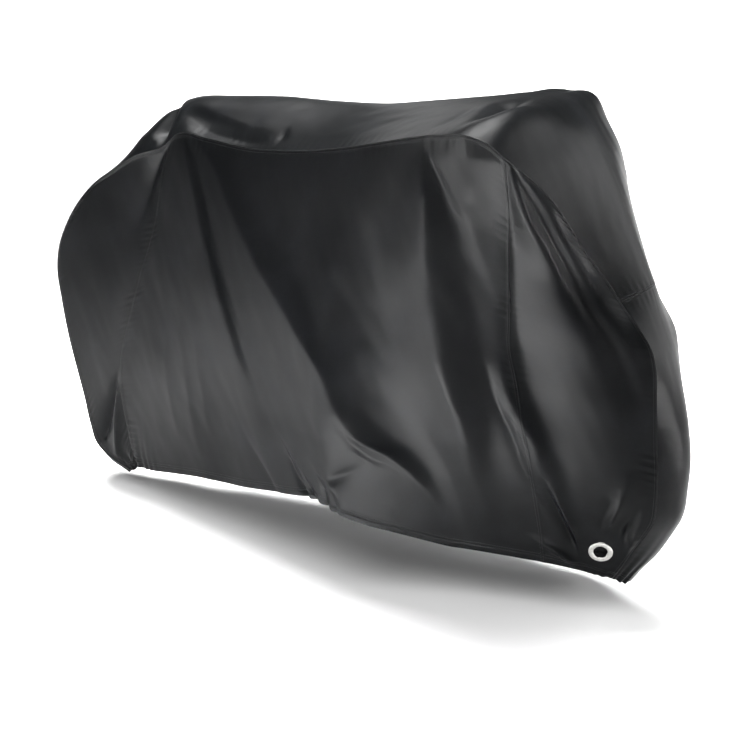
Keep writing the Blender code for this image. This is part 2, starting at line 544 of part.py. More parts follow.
# ---------------------------------------------------------------- build
def build_surfaces():
    """The three grids of the outer surface, with the eyelets' middles and axes."""
    gusset = folded_gusset(gusset_grid())
    near, near_eyelet = folded_side(side_grid(gusset[:, 0], -1.0), NEAR_FOLDS, -1.0)
    far, far_eyelet = folded_side(side_grid(gusset[:, -1], 1.0), FAR_FOLDS, 1.0)
    return near, far, gusset, near_eyelet, far_eyelet


def main():
    cloth = finish("coated nylon", CLOTH_COLOUR, 0.45, 0.0)
    metal = finish("nickel plated brass", METAL_COLOUR, 0.2, 1.0)
    near, far, gusset, near_eyelet, far_eyelet = build_surfaces()
    normals = shared_normals(near, far, gusset)

    side_thickness = np.full(near.shape[:2], CLOTH)
    side_thickness[-1] = HEM
    splits = np.cumsum([0] + list(COLUMNS.values()))
    sewn = {"rear": ("top", "left", "right"), "middle": ("top", "left", "right"), "front": ("top", "left", "right")}
    for word, grid, normal, eyelet in (("near", near, normals[0], near_eyelet), ("far", far, normals[1], far_eyelet)):
        for i, part in enumerate(COLUMNS):
            columns = slice(splits[i], splits[i + 1] + 1)
            panel = panel_object(f"side_{part}_{word}", grid[:, columns], normal[:, columns],
                                 side_thickness[:, columns], sewn[part], cloth)
        place = eyelet_place(*eyelet)
        cut_hole(panel, place)
        eyelet_object(f"eyelet_{word}", place, metal)

    lengths, at = gusset_lengths()
    cross = next(length for s, length in zip(GUSSET, lengths) if s.place == "cross seam")
    split = int(np.argmin(np.abs(at - cross)))
    gusset_thickness = np.full(gusset.shape[:2], CLOTH)
    gusset_thickness[0] = gusset_thickness[-1] = HEM
    for name, rows, edges in (("gusset_top", slice(0, split + 1), ("left", "right", "bottom")),
                              ("gusset_front", slice(split, None), ("left", "right", "top"))):
        panel_object(name, gusset[rows], normals[2][rows], gusset_thickness[rows], edges, cloth)


main()
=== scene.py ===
"""Fitted bicycle cover of coated nylon, hanging as it does over a bicycle.

Every panel is a fine sheet laid on the CAD model's own surface, with its folds,
creases, gathers, lapped seams and turned hem. The eyelets are turned rings, and
every seam and hem carries its rows of stitches. +X points to the front wheel,
+Y to the far side and +Z up. The tables of places are in millimetres, with
heights above the ground; every other size is in metres, or in the unit that
its name ends in.
"""

import logging
import math
from dataclasses import dataclass, field
from enum import Enum
from typing import Callable, Dict, List, Sequence, Tuple

import bpy
import numpy as np
from mathutils import Matrix, Vector, noise


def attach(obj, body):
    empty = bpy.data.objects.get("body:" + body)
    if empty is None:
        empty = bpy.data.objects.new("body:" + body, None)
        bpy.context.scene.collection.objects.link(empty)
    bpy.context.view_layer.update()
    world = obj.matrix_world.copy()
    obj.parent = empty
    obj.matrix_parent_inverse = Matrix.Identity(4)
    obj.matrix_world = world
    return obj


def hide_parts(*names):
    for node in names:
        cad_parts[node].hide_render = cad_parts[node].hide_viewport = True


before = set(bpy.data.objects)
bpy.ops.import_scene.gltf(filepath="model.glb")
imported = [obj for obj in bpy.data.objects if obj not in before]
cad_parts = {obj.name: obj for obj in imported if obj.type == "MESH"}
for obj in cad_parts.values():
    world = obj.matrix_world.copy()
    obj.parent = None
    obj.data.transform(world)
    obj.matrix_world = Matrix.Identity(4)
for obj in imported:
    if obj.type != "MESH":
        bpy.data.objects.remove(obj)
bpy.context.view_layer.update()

log = logging.getLogger("bicycle_cover")

Array = np.ndarray
Point = Tuple[float, float, float]
Places = Dict[str, Sequence[float]]             # points by name, in millimetres
Lines = Dict[str, Sequence[Sequence[float]]]    # lines of points by name, in millimetres
StitchRows = Dict[str, List[Tuple[Array, Array]]]
Thing = bpy.types.Object
Material = bpy.types.Material
Tree = bpy.types.NodeTree
Node = bpy.types.Node
Socket = bpy.types.NodeSocket

# ---------------------------------------------------------------- driving sizes
MOUNT_HEIGHT = 1.0536       # the frame's origin above the ground
HEM_WIDTH = 0.022           # height of the turned hem
CAD_ROWS = 20               # cells of the CAD side from the top seam to the hem
CAD_PACKING = 1.35          # above 1, those rows lie closer together near the hem
CAD_COLUMNS = {"rear": 8, "middle": 33, "front": 10}
CROWN_SOFT = 0.06           # share of the gusset's half width over which its crown is round
EYELET_X = 0.679
EYELET_HEIGHT = 0.163
EYELET_OUTER = 0.0262
EYELET_BORE = 0.0150
EYELET_HOLE = 0.0164        # the hole in the cloth, hidden under the flange
EYELET_SEAT = 0.0023        # how far the cloth's surface lies behind the eyelet's face
FLAT_INNER = (0.040, 0.050)  # x and z reach of the quite flat cloth round an eyelet
FLAT_LIMIT = 1.875          # times that size, where its folds are whole again
AWAY = 9.0                  # stands for a seam that a panel doesn't have

# Distances from a sewn edge at which the cloth has a row of points.
LAP_STEPS = (0.0, 0.0011, 0.0022, 0.0034, 0.0062, 0.0074, 0.0086, 0.0100, 0.0135)
PLAIN_STEPS = (0.0, 0.0020, 0.0050, 0.0090)
HEM_STEPS = (0.0, 0.0015, 0.0045, 0.0085, 0.0128, 0.0140, 0.0152, 0.0188, 0.0200, 0.0212, 0.0240, 0.0275)
LAP_STITCH = (2, 5)         # places of the two stitch rows in LAP_STEPS
HEM_STITCH = (5, 8)         # and in HEM_STEPS
STITCH_GROOVE = 0.0010      # half width of the groove that a stitch row draws

# The hem may sag in front of the pedals: where it hangs lowest, how far that
# reaches, the height at which it starts and over how much it grows.
SAG_X = 0.60
SAG_REACH = 0.10
SAG_START = 0.40
SAG_GROWTH = 0.25

# The drawn hem throws up waves near its two ends, at these lengths along it.
GATHER_ENDS = (0.16, 1.34)
GATHER_PITCH = 0.024
GATHER_HEIGHT = 0.0034

# Small waves that stand across each seam where its thread draws the cloth up:
# their height, the distance between them and which of many rows they are.
PUCKERS = {
    "panel ends": (0.0011, 0.017, 2.0),
    "rear seam": (0.0015, 0.018, 4.0),
    "front seam": (0.0006, 0.016, 6.0),
    "top seam": (0.0003, 0.018, 8.0),
    "gusset edges": (0.0004, 0.018, 61.0),
    "cross seam": (0.0002, 0.016, 63.0),
}

# Slack that the weight of the cloth leaves, in layers of patches: height, how
# far they lean along the cover, how they are drawn out, their size and seed.
SIDE_SLACK = (
    (0.0012, 0.35, 0.28, 0.075, 12.3),
    (0.0004, 0.35, 0.40, 0.030, 17.9),
    (0.0003, 0.0, 1.0, 0.045, 23.5),
)
GUSSET_SLACK = (            # here without the lean
    (0.0006, 0.55, 0.070, 41.0),
    (0.0002, 1.0, 0.035, 43.0),
)

FACET_DEPTH = 1.5           # how much deeper the facets lie than their table says
CREASE_TURN = 0.004         # width over which a crease goes from its rear flank to its front one
CREASE_REACH = 0.003        # the least reach of a flank
CREASE_EDGE = 0.0008        # the least roundness of an edge
CREASE_FALL = 1.15          # 1 falls straight from the edge, more is fuller near it

# One row for each place along the gusset, from the rear hem over the top to the
# front hem: x and height of its seam, the seam's distance from the middle plane
# on the near and the far side, x and height of the gusset's crown, and how round
# it is between them (1 is a tent, 2 an arch, more is flat with tight shoulders).
GUSSET = {
    "rear hem": (-642, 52, 45, 45, -672, 26, 1.8),
    "under tyre": (-700, 77, 52, 52, -731, 49, 1.8),
    "tyre low": (-741, 116, 58, 58, -766, 96, 1.8),
    "tyre behind": (-754, 164, 60, 60, -781, 150, 1.8),
    "rear low": (-767, 244, 62, 62, -796, 234, 1.8),
    "rear axle": (-784, 320, 63, 63, -811, 311, 1.8),
    "tyre back": (-802, 407, 64, 64, -829, 399, 1.8),
    "rear high": (-815, 502, 64, 64, -840, 497, 1.8),
    "rear most": (-821, 589, 64, 64, -846, 588, 1.8),
    "mudguard": (-807, 648, 65, 65, -830, 652, 1.8),
    "rear shoulder": (-776, 706, 66, 66, -794, 713, 1.8),
    "rear corner": (-722, 775, 68, 68, -735, 776, 1.7),
    "rear slope": (-666, 824, 72, 72, -680, 824, 1.6),
    "rack": (-598, 864, 80, 80, -612, 880, 1.5),
    "light": (-520, 905, 90, 88, -536, 955, 1.5),
    "rear seam": (-427, 936, 97, 94, -446, 1021, 1.5),
    "saddle tail": (-369, 973, 105, 100, -382, 1042, 1.6),
    "saddle": (-292, 968, 115, 108, -285, 1050, 1.5),
    "saddle nose": (-155, 959, 135, 125, -150, 1056, 1.4),
    "top tube": (-39, 967, 155, 142, -30, 1055, 1.3),
    "shifters": (115, 990, 185, 170, 112, 1058, 1.3),
    "brake cables": (213, 1013, 215, 200, 210, 1069, 1.4),
    "grips": (299, 1034, 250, 238, 298, 1080, 1.7),
    "brake levers": (380, 1050, 285, 275, 380, 1089, 2.3),
    "bar ends": (448, 1056, 306, 313, 450, 1093, 5.0),
    "bar front": (482, 1046, 303, 302, 497, 1090, 4.5),
    "front seam": (518, 1019, 295, 258, 545, 1058, 2.2),
    "head lamp": (571, 963, 250, 206, 600, 985, 1.9),
    "front corner": (592, 922, 215, 182, 628, 935, 1.8),
    "fork crown": (614, 862, 170, 154, 658, 874, 1.8),
    "mudguard front": (637, 813, 142, 134, 680, 825, 1.8),
    "fender": (660, 769, 113, 110, 700, 782, 1.8),
    "cross seam": (690, 717, 90, 90, 723, 733, 1.8),
    "below cross": (729, 666, 85, 85, 746, 672, 1.8),
    "tyre top": (754, 627, 80, 80, 768, 618, 1.8),
    "tyre high": (765, 586, 76, 76, 782, 575, 1.8),
    "tyre front": (771, 523, 75, 75, 800, 515, 1.8),
    "front most": (779, 424, 75, 76, 822, 428, 1.8),
    "axle": (786, 357, 75, 77, 830, 362, 1.8),
    "rim": (788, 304, 75, 77, 829, 298, 1.8),
    "tyre lower": (785, 254, 73, 76, 825, 244, 1.8),
    "tuck top": (766, 211, 70, 73, 806, 198, 1.8),
    "tuck": (743, 170, 65, 68, 780, 148, 1.8),
    "tuck low": (714, 116, 58, 60, 744, 96, 1.8),
    "front hem": (698, 91, 53, 54, 722, 64, 1.8),
}

# The hem of one side from the rear to the front: x, distance from the middle plane, height.
HEM_LINE = {
    "rear gusset": (-640, 45, 58),
    "rear seam": (-605, 60, 72),
    "rear tyre": (-545, 75, 82),
    "rear hub": (-446, 100, 105),
    "rear mech": (-347, 125, 126),
    "chain stay": (-217, 150, 144),
    "crank": (-65, 190, 176),
    "pedal rear": (41, 215, 193),
    "pedal": (79, 225, 191),
    "pedal front": (114, 235, 184),
    "down tube": (172, 225, 171),
    "wheel gap": (235, 205, 158),
    "tyre rear": (297, 180, 143),
    "rim rear": (358, 155, 130),
    "spokes": (446, 135, 126),
    "front hub": (499, 120, 121),
    "front seam": (563, 105, 118),
    "eyelet": (626, 88, 112),
    "tuck": (668, 70, 100),
    "front gusset": (698, 53, 91),
}

# The two upright seams of one side, down from the gusset seam to the hem, in the same way.
REAR_SEAM = {
    "top": (-427, 97, 936),
    "saddle": (-447, 102, 832),
    "stay": (-469, 105, 738),
    "tyre": (-517, 105, 626),
    "rim": (-571, 100, 493),
    "hub": (-612, 92, 379),
    "tuck": (-623, 88, 325),
    "below": (-624, 80, 254),
    "spokes": (-621, 70, 180),
    "low": (-614, 62, 99),
    "hem": (-605, 60, 72),
}
FRONT_SEAM = {
    "top": (518, 295, 1019),
    "bar end": (517, 285, 977),
    "lever": (517, 272, 929),
    "fork": (509, 245, 837),
    "tyre top": (499, 205, 665),
    "tyre": (496, 196, 620),
    "rim": (507, 182, 549),
    "spokes": (523, 163, 451),
    "hub": (536, 152, 380),
    "below": (545, 138, 300),
    "low": (558, 117, 190),
    "hem": (563, 105, 118),
}

# Broad folds: a ridge (rise over 0) or a trough along a line, each of its points
# with x, height (y on top of the gusset), width and rise.
FAR_FOLDS = {
    "saddle trough": (
        (-370, 950, 20, -4), (-390, 700, 45, -14), (-440, 400, 60, -18), (-460, 120, 60, -12),
    ),
    "long ridge": ((-300, 930, 30, 4), (-160, 650, 60, 18), (-20, 400, 70, 24), (60, 200, 60, 14)),
    "middle valley": ((0, 930, 60, -6), (120, 550, 70, -20), (190, 200, 60, -14)),
    "lever ridge": ((360, 1000, 25, 6), (330, 750, 50, 24), (320, 450, 60, 28), (330, 180, 45, 12)),
    "bar valley": ((430, 980, 20, -6), (440, 650, 45, -24), (450, 350, 45, -18), (470, 150, 40, -6)),
    "front panel ridge": ((550, 900, 22, 4), (620, 650, 40, 4), (690, 420, 45, 6), (730, 300, 35, 4)),
    "rear tuck": ((-600, 600, 30, -5), (-680, 330, 40, -12), (-690, 130, 30, -8)),
}
FAR_LEAN = {"long ridge": -0.3, "lever ridge": -0.4, "front panel ridge": 0.2}  # over 0, steeper in front
GUSSET_FOLDS = {
    "saddle tail pleat": ((-455, 20, 18, -4), (-450, -60, 20, -14)),
    "saddle hollow": ((-380, -62, 22, -6), (-300, -86, 28, -14), (-190, -105, 28, -6)),
    "far hollow": ((-360, 55, 24, -4), (-240, 75, 30, -12), (-80, 95, 35, -6)),
    "bar trough": ((425, -240, 26, -6), (440, -120, 30, -10)),
}

# The near side hangs in flat facets between lines that run down from the places
# where the cloth is held up. Each point gives x, height, how far out the cloth
# stands and how round the edge is. The lines stand in order from the rear.
NEAR_FACETS = {
    "rear seam": ((-840, 1000, 0, 40), (-840, 600, 0, 40), (-840, 50, 0, 40)),
    "rear crease": (
        (-424, 932, -2, 6), (-457, 883, -6, 6), (-499, 795, -9, 12), (-560, 680, -7, 30),
        (-620, 550, -3, 40), (-700, 300, 0, 40),
    ),
    "saddle tail edge": (
        (-379, 959, 0, 4), (-405, 895, -1, 6), (-432, 810, -2, 12), (-457, 734, -3, 16),
        (-488, 652, -4, 20), (-523, 564, -6, 30), (-565, 440, -6, 40), (-600, 330, -5, 40),
        (-630, 200, -2, 40),
    ),
    "corner crest": (
        (-357, 962, 1, 2), (-332, 915, 8, 4), (-297, 828, 14, 5), (-267, 730, 17, 7), (-232, 630, 17, 10),
        (-197, 541, 15, 14), (-157, 441, 12, 20), (-111, 341, 8, 30), (-69, 265, 5, 40), (-30, 180, 2, 40),
    ),
    "corner trough": (
        (-348, 963, 0, 2), (-321, 915, 3, 3), (-282, 828, 6, 3), (-250, 730, 7, 4), (-213, 630, 7, 5),
        (-176, 541, 6, 6), (-132, 441, 5, 10), (-83, 341, 4, 16), (-40, 265, 2, 20), (0, 180, 1, 30),
    ),
    "long ridge": (
        (-319, 963, 1, 3), (-260, 922, 7, 6), (-211, 851, 12, 8), (-168, 784, 15, 8), (-105, 705, 17, 8),
        (-30, 626, 18, 8), (34, 562, 18, 7), (85, 510, 18, 6), (118, 440, 18, 5), (161, 376, 17, 4),
        (228, 343, 14, 4), (287, 292, 11, 5), (325, 245, 8, 8), (342, 205, 6, 10), (360, 150, 3, 12),
    ),
    "middle trough": (
        (-261, 955, 2, 10), (-169, 888, 5, 30), (-76, 781, 6, 50), (16, 686, 5, 50), (77, 622, 4, 50),
        (129, 564, 2, 50), (175, 480, -1, 40), (225, 400, -1, 30), (292, 338, 0, 20), (338, 280, 1, 16),
        (368, 210, 1, 16), (380, 150, 1, 16),
    ),
    "fan foot": (
        (324, 1014, 0, 4), (284, 948, 0, 20), (248, 861, -2, 40), (219, 777, -3, 50), (200, 681, -4, 60),
        (205, 600, -5, 60), (235, 500, -5, 60), (280, 420, -3, 40), (335, 350, -1, 20), (368, 290, 1, 16),
        (392, 200, 1, 16), (400, 150, 1, 16),
    ),
    "lever ridge": (
        (338, 1011, 1, 3), (343, 934, 10, 6), (347, 868, 16, 10), (351, 793, 20, 12), (359, 715, 23, 16),
        (366, 640, 24, 14), (368, 581, 24, 8), (385, 503, 22, 6), (402, 450, 20, 8), (410, 404, 17, 12),
        (413, 315, 10, 20), (418, 200, 4, 30), (420, 150, 2, 30),
    ),
    "bar valley": (
        (352, 1004, -2, 3), (373, 941, -6, 8), (392, 872, -8, 12), (410, 800, -8, 14), (424, 715, -8, 16),
        (433, 627, -8, 16), (439, 549, -8, 16), (448, 447, -7, 20), (458, 356, -6, 24), (478, 250, -4, 30),
        (490, 150, -1, 30),
    ),
    "narrow ridge": (
        (360, 1002, 0, 3), (386, 966, -1, 4), (410, 921, -4, 5), (429, 883, -6, 6), (450, 829, -8, 8),
        (462, 770, -10, 10), (467, 700, -12, 12), (470, 640, -13, 10), (472, 596, -12, 6),
        (484, 539, -7, 4), (515, 466, 1, 5), (543, 416, 4, 6), (562, 335, 5, 6), (585, 276, 4, 8),
        (603, 231, 3, 10), (620, 170, 1, 12),
    ),
    "front ridge foot": (
        (519, 1012, 0, 3), (522, 914, -12, 4), (518, 823, -18, 6), (514, 729, -21, 8), (516, 630, -21, 10),
        (532, 500, -16, 12), (562, 420, -9, 14), (600, 350, -5, 16), (630, 270, -2, 20), (650, 150, 0, 20),
    ),
    "front ridge": (
        (524, 1013, 1, 3), (542, 915, 8, 6), (572, 825, 14, 12), (608, 734, 18, 18), (646, 644, 18, 24),
        (690, 540, 14, 30), (720, 440, 9, 30), (742, 350, 5, 30), (752, 270, 2, 30), (758, 150, 0, 30),
    ),
    "front valley": (
        (528, 1011, -1, 2), (565, 914, -5, 4), (594, 821, -5, 6), (626, 730, -1, 8), (681, 638, -1, 10),
        (724, 540, 0, 12), (750, 440, 1, 16), (770, 350, 1, 20), (776, 150, 0, 20),
    ),
    "seam roll": (
        (530, 1010, 0, 2), (578, 914, 3, 4), (607, 821, 5, 6), (645, 730, 8, 8), (704, 638, 7, 10),
        (744, 540, 4, 12), (772, 440, 1, 16), (785, 350, 0, 20), (790, 150, 0, 20),
    ),
    "front seam": (
        (534, 1009, 0, 3), (569, 970, 0, 4), (598, 915, 0, 6), (623, 851, 0, 8), (656, 777, 0, 8),
        (690, 714, 0, 10), (730, 640, 0, 10), (765, 550, 0, 10), (790, 450, 0, 10), (800, 350, 0, 10),
        (805, 150, 0, 10),
    ),
}

# Creases: a ridge (rise over 0) or a trough along a line, each of its points with
# x, height (y on top of the gusset), its reach to the rear and to the front, its
# rise and how round its edge is.
NEAR_CREASES = {
    "corner crease": (
        (-290, 850, 4, 4, 0, 1), (-284, 820, 4, 4, 1.6, 1), (-262, 762, 5, 5, 2.2, 1),
        (-230, 680, 6, 6, 2.6, 1), (-200, 600, 7, 8, 2.6, 1), (-168, 530, 8, 10, 2, 1.2),
        (-130, 452, 10, 12, 1, 2), (-90, 372, 10, 12, 0, 3),
    ),
    "long ridge foot": (
        (118, 420, 10, 30, 0, 2), (160, 356, 10, 36, -6, 1), (190, 334, 10, 34, -5, 1),
        (240, 318, 10, 28, -3, 1.5), (290, 268, 10, 20, 0, 2),
    ),
    "narrow ridge foot": (
        (450, 560, 12, 8, -2, 1.5), (468, 490, 14, 10, -6, 1.2), (500, 420, 16, 10, -7, 1.2),
        (525, 340, 16, 10, -6, 1.5), (550, 265, 14, 10, -4, 1.5), (575, 195, 12, 10, 0, 2),
    ),
    "front foot ridge": (
        (572, 330, 12, 14, 0, 1.5), (597, 270, 10, 12, 10, 1), (618, 226, 10, 12, 16, 0.8),
        (634, 194, 10, 10, 16, 0.8), (648, 160, 8, 8, 14, 0.8), (662, 126, 8, 8, 7, 1.5),
        (676, 104, 8, 6, 4, 1.5),
    ),
    "front foot crease": (
        (560, 330, 16, 10, -3, 1.5), (585, 262, 14, 10, -15, 1), (612, 200, 12, 10, -17, 1),
        (640, 146, 10, 8, -15, 1), (664, 112, 10, 6, -6, 1.5),
    ),
    "hem pull crest": (
        (520, 185, 10, 10, 0, 1.5), (570, 160, 10, 10, 8, 1), (620, 134, 9, 7, 12, 0.8),
        (660, 108, 7, 6, 9, 1),
    ),
    "eyelet ridge": (
        (688, 215, 8, 10, 4, 1.5), (702, 250, 10, 12, 10, 1), (718, 300, 12, 14, 8, 1.5),
        (732, 370, 16, 14, 0, 3),
    ),
    "eyelet crease": (
        (676, 208, 6, 6, -3, 1), (684, 238, 8, 8, -6, 1), (692, 270, 10, 8, -4, 1.5),
        (702, 310, 10, 10, 0, 2),
    ),
    "eyelet dark crease": (
        (700, 100, 8, 8, -6, 1), (716, 150, 8, 10, -15, 0.8), (728, 200, 8, 10, -16, 0.8),
        (742, 250, 12, 10, -7, 1.5), (756, 310, 14, 10, 0, 3),
    ),
    "seam side crest": (
        (712, 120, 6, 8, 5, 1), (734, 170, 8, 8, 12, 0.8), (752, 225, 10, 8, 7, 1.5),
        (764, 290, 10, 8, 0, 2),
    ),
    "rear tuck": (
        (-628, 335, 8, 6, -2, 1), (-655, 265, 14, 8, -14, 0.8), (-690, 190, 18, 10, -17, 1),
        (-716, 135, 14, 10, -10, 1.5),
    ),
    "rear tuck fold": (
        (-632, 290, 8, 12, 4, 1), (-652, 205, 10, 14, 11, 1), (-672, 135, 10, 14, 9, 1.5),
        (-680, 95, 10, 12, 4, 2),
    ),
    "rear panel crease": (
        (-424, 932, 14, 8, -5, 1), (-457, 883, 18, 10, -9, 1), (-499, 795, 22, 14, -4, 2),
        (-540, 720, 22, 16, 0, 3),
    ),
    "hem facet crease": (
        (86, 236, 20, 12, 0, 1.5), (110, 264, 18, 10, -5.5, 0.8), (150, 292, 18, 10, -5, 0.8),
        (196, 326, 20, 14, 0, 2),
    ),
    "hem facet ridge": (
        (30, 300, 30, 16, 0, 2), (75, 262, 26, 14, 4.5, 1.5), (120, 222, 22, 14, 3, 2),
        (150, 200, 18, 14, 0, 2),
    ),
    "pedal gather one": ((-58, 330, 10, 8, 0, 1), (-22, 262, 10, 8, -8, 0.8), (20, 196, 10, 8, -15, 1)),
    "pedal gather two": ((0, 262, 8, 6, 0, 0.8), (26, 226, 8, 6, -8, 0.8), (50, 190, 8, 8, -13, 1)),
    "pedal gather three": ((66, 262, 6, 8, 0, 0.8), (78, 228, 6, 8, -9, 0.8), (86, 186, 8, 8, -12, 1)),
    "pedal gather four": ((100, 240, 6, 8, 0, 0.8), (110, 212, 6, 8, -7, 0.8), (114, 180, 6, 8, -9, 1)),
    "pedal gather crest": ((-20, 300, 8, 10, 0, 1), (10, 240, 8, 8, 6, 1), (36, 200, 8, 6, 6, 1)),
    "stay streak one": (
        (-372, 560, 14, 10, 0, 3), (-366, 430, 16, 10, 2, 4), (-356, 320, 16, 12, 2, 4),
        (-340, 210, 14, 12, 0, 4),
    ),
    "stay streak two": (
        (-320, 520, 14, 10, 0, 3), (-312, 400, 16, 10, 2, 4), (-300, 300, 14, 12, 1.2, 4),
        (-290, 220, 14, 12, 0, 4),
    ),
    "stay streak three": (
        (-425, 500, 16, 10, 0, 3), (-430, 380, 18, 12, 2.2, 4), (-420, 260, 16, 12, 1.5, 4),
        (-400, 160, 14, 12, 0, 4),
    ),
    "chain crease": (
        (-190, 330, 20, 14, 0, 3), (-150, 260, 20, 14, -3.5, 2), (-100, 200, 16, 12, -5, 2),
        (-75, 172, 14, 10, -4, 2),
    ),
}
FAR_CREASES = {
    "saddle corner crease": (
        (-366, 960, 12, 16, -3, 2), (-345, 860, 18, 24, -6, 2), (-310, 640, 24, 34, -7, 3),
        (-250, 420, 26, 34, -4, 4), (-200, 280, 24, 30, 0, 4),
    ),
    "long ridge edge": (
        (-240, 860, 20, 40, 0, 3), (-150, 660, 20, 46, 6, 2), (-60, 480, 20, 50, 8, 2),
        (40, 300, 18, 40, 5, 3), (100, 200, 16, 30, 0, 3),
    ),
    "lever ridge edge": (
        (362, 1000, 20, 10, 2, 2), (352, 880, 34, 14, 6.5, 2), (335, 680, 50, 18, 9, 2.5),
        (322, 480, 48, 18, 8, 2.5), (330, 300, 36, 18, 4, 3), (335, 200, 30, 18, 0, 4),
    ),
    "bar valley bottom": (
        (400, 985, 12, 12, -2, 2), (425, 860, 20, 16, -6.5, 2.5), (440, 640, 26, 20, -8.5, 3),
        (450, 420, 24, 20, -5.5, 3.5), (470, 240, 18, 18, 0, 4),
    ),
    "front panel crest": (
        (530, 980, 12, 10, 2, 2), (575, 850, 22, 18, 6, 2), (640, 660, 30, 22, 3, 3),
        (700, 470, 28, 20, 3, 3), (735, 350, 22, 18, 0, 4),
    ),
    "front panel valley": (
        (570, 940, 12, 10, -3, 2), (640, 780, 14, 12, -6, 2), (700, 650, 14, 12, -4, 2.5),
        (735, 560, 12, 12, 0, 3),
    ),
    "rear tuck": (
        (-620, 400, 10, 10, -2, 1.5), (-665, 280, 14, 12, -6.5, 1.5), (-700, 170, 14, 12, -6, 2),
        (-715, 110, 12, 10, -2, 2),
    ),
    "rear panel crease": (
        (-430, 930, 16, 10, -3, 1.5), (-480, 830, 20, 12, -6, 1.5), (-540, 700, 22, 16, 0, 3),
    ),
    "hem gather one": ((-100, 250, 10, 12, 0, 1.5), (-60, 190, 10, 12, -7, 1.5)),
    "hem gather two": ((60, 270, 10, 12, 0, 1.5), (75, 200, 10, 12, -6, 1.5)),
    "hem fold": ((180, 330, 24, 14, 0, 2), (230, 250, 24, 14, 6, 2), (260, 170, 20, 12, 4, 2)),
}
GUSSET_CREASES = {
    "saddle hollow edge": (
        (-400, -55, 10, 20, 0, 2), (-360, -76, 12, 24, -5, 2), (-300, -98, 14, 24, -7, 1.5),
        (-240, -112, 14, 22, -6, 1.5), (-180, -121, 12, 20, -4, 2), (-100, -132, 10, 18, 0, 2),
    ),
    "saddle hollow crest": (
        (-370, -40, 16, 14, 0, 2), (-310, -60, 18, 14, 4, 2), (-240, -78, 20, 14, 5, 2),
        (-160, -95, 20, 14, 2.5, 3), (-90, -104, 18, 14, 0, 3),
    ),
    "small top crease": ((-86, -92, 10, 6, 0, 1), (-80, -116, 12, 6, -4, 1), (-74, -134, 10, 6, 0, 1)),
    "tail pleat": (
        (-446, 10, 14, 8, 0, 1.5), (-446, -40, 18, 10, -12, 1), (-440, -76, 18, 8, -15, 1),
        (-432, -94, 12, 6, -8, 1),
    ),
    "tail facet": (
        (-560, -30, 30, 20, 0, 2), (-500, -58, 28, 16, 6, 1.5), (-462, -80, 20, 12, 5, 1.5),
        (-440, -94, 14, 10, 0, 2),
    ),
    "far saddle hollow": (
        (-380, 60, 16, 20, 0, 2), (-280, 85, 16, 22, -5.5, 2), (-160, 100, 14, 20, -4, 2),
        (-60, 118, 12, 16, 0, 3),
    ),
    "bar dark fold": (
        (418, -262, 12, 10, -3, 1.5), (436, -225, 16, 12, -8, 1.5), (444, -160, 18, 14, -10, 2),
        (450, -90, 18, 16, -7, 2.5), (458, -30, 16, 16, 0, 4),
    ),
    "bar bright fold": (
        (452, -270, 12, 12, 1, 2), (474, -230, 16, 14, 6, 2), (494, -165, 18, 14, 7, 2.5),
        (508, -100, 16, 14, 3, 3), (512, -50, 14, 14, 0, 4),
    ),
    "lever crease": (
        (340, -240, 14, 10, 0, 1.5), (362, -200, 16, 12, -4.5, 1.5), (372, -150, 16, 12, -3, 2),
        (380, -100, 14, 12, 0, 3),
    ),
    "far lever crease": (
        (350, 240, 14, 10, 0, 1.5), (372, 190, 16, 12, -5.5, 1.5), (386, 130, 16, 12, -3, 2),
        (392, 80, 14, 12, 0, 3),
    ),
    "far bar fold": (
        (430, 262, 12, 12, -2, 2), (452, 210, 16, 14, -7, 2), (462, 140, 16, 14, -5, 2.5),
        (470, 70, 14, 14, 0, 4),
    ),
}


# ---------------------------------------------------------------- curves
def metres(rows: Sequence[Sequence[float]]) -> Array:
    """Rows of millimetres as an array in metres."""
    return np.array(rows, float) / 1000.0


def smooth_line(points: Array, lengths: Array, at: Array) -> Array:
    """Read a smooth curve at new lengths.

    Args:
        points: The curve's points, one row each.
        lengths: The length at which each point lies.
        at: The lengths to read, in any shape.

    Returns:
        The curve there: the shape of at, with the points' columns last.
    """
    slopes = np.gradient(points, lengths, axis=0)
    shape, at = np.shape(at), np.ravel(at)
    index = np.clip(np.searchsorted(lengths, at, side="right") - 1, 0, len(lengths) - 2)
    step = (lengths[index + 1] - lengths[index])[:, None]
    s = (at - lengths[index])[:, None] / step
    h00, h10 = 2 * s**3 - 3 * s**2 + 1, s**3 - 2 * s**2 + s
    h01, h11 = -2 * s**3 + 3 * s**2, s**3 - s**2
    line = (h00 * points[index] + h10 * step * slopes[index]
            + h01 * points[index + 1] + h11 * step * slopes[index + 1])
    return line.reshape(*shape, -1)


def run_lengths(points: Array) -> Array:
    """Length along a line of points up to each one."""
    steps = np.linalg.norm(np.diff(points, axis=0), axis=1)
    return np.concatenate([[0.0], np.cumsum(steps)])


def refine(line: Sequence[Sequence[float]], finer: int) -> Array:
    """A smooth line of points in metres, several times finer than its points in millimetres."""
    points = metres(line)
    lengths = run_lengths(points[:, :2])
    return smooth_line(points, lengths, np.linspace(0.0, lengths[-1], finer * len(points)))


def smooth_step(value: Array) -> Array:
    """Ease from 0 to 1 as value goes from 0 to 1."""
    value = np.clip(value, 0.0, 1.0)
    return value * value * (3.0 - 2.0 * value)


def unit(vectors: Array) -> Array:
    """Vectors of length 1 in the same directions."""
    return vectors / np.maximum(np.linalg.norm(vectors, axis=-1, keepdims=True), 1e-12)


def grid_normals(grid: Array) -> Array:
    """Unit normals at the points of a grid, from the directions along its rows and columns."""
    return unit(np.cross(np.gradient(grid, axis=1), np.gradient(grid, axis=0)))


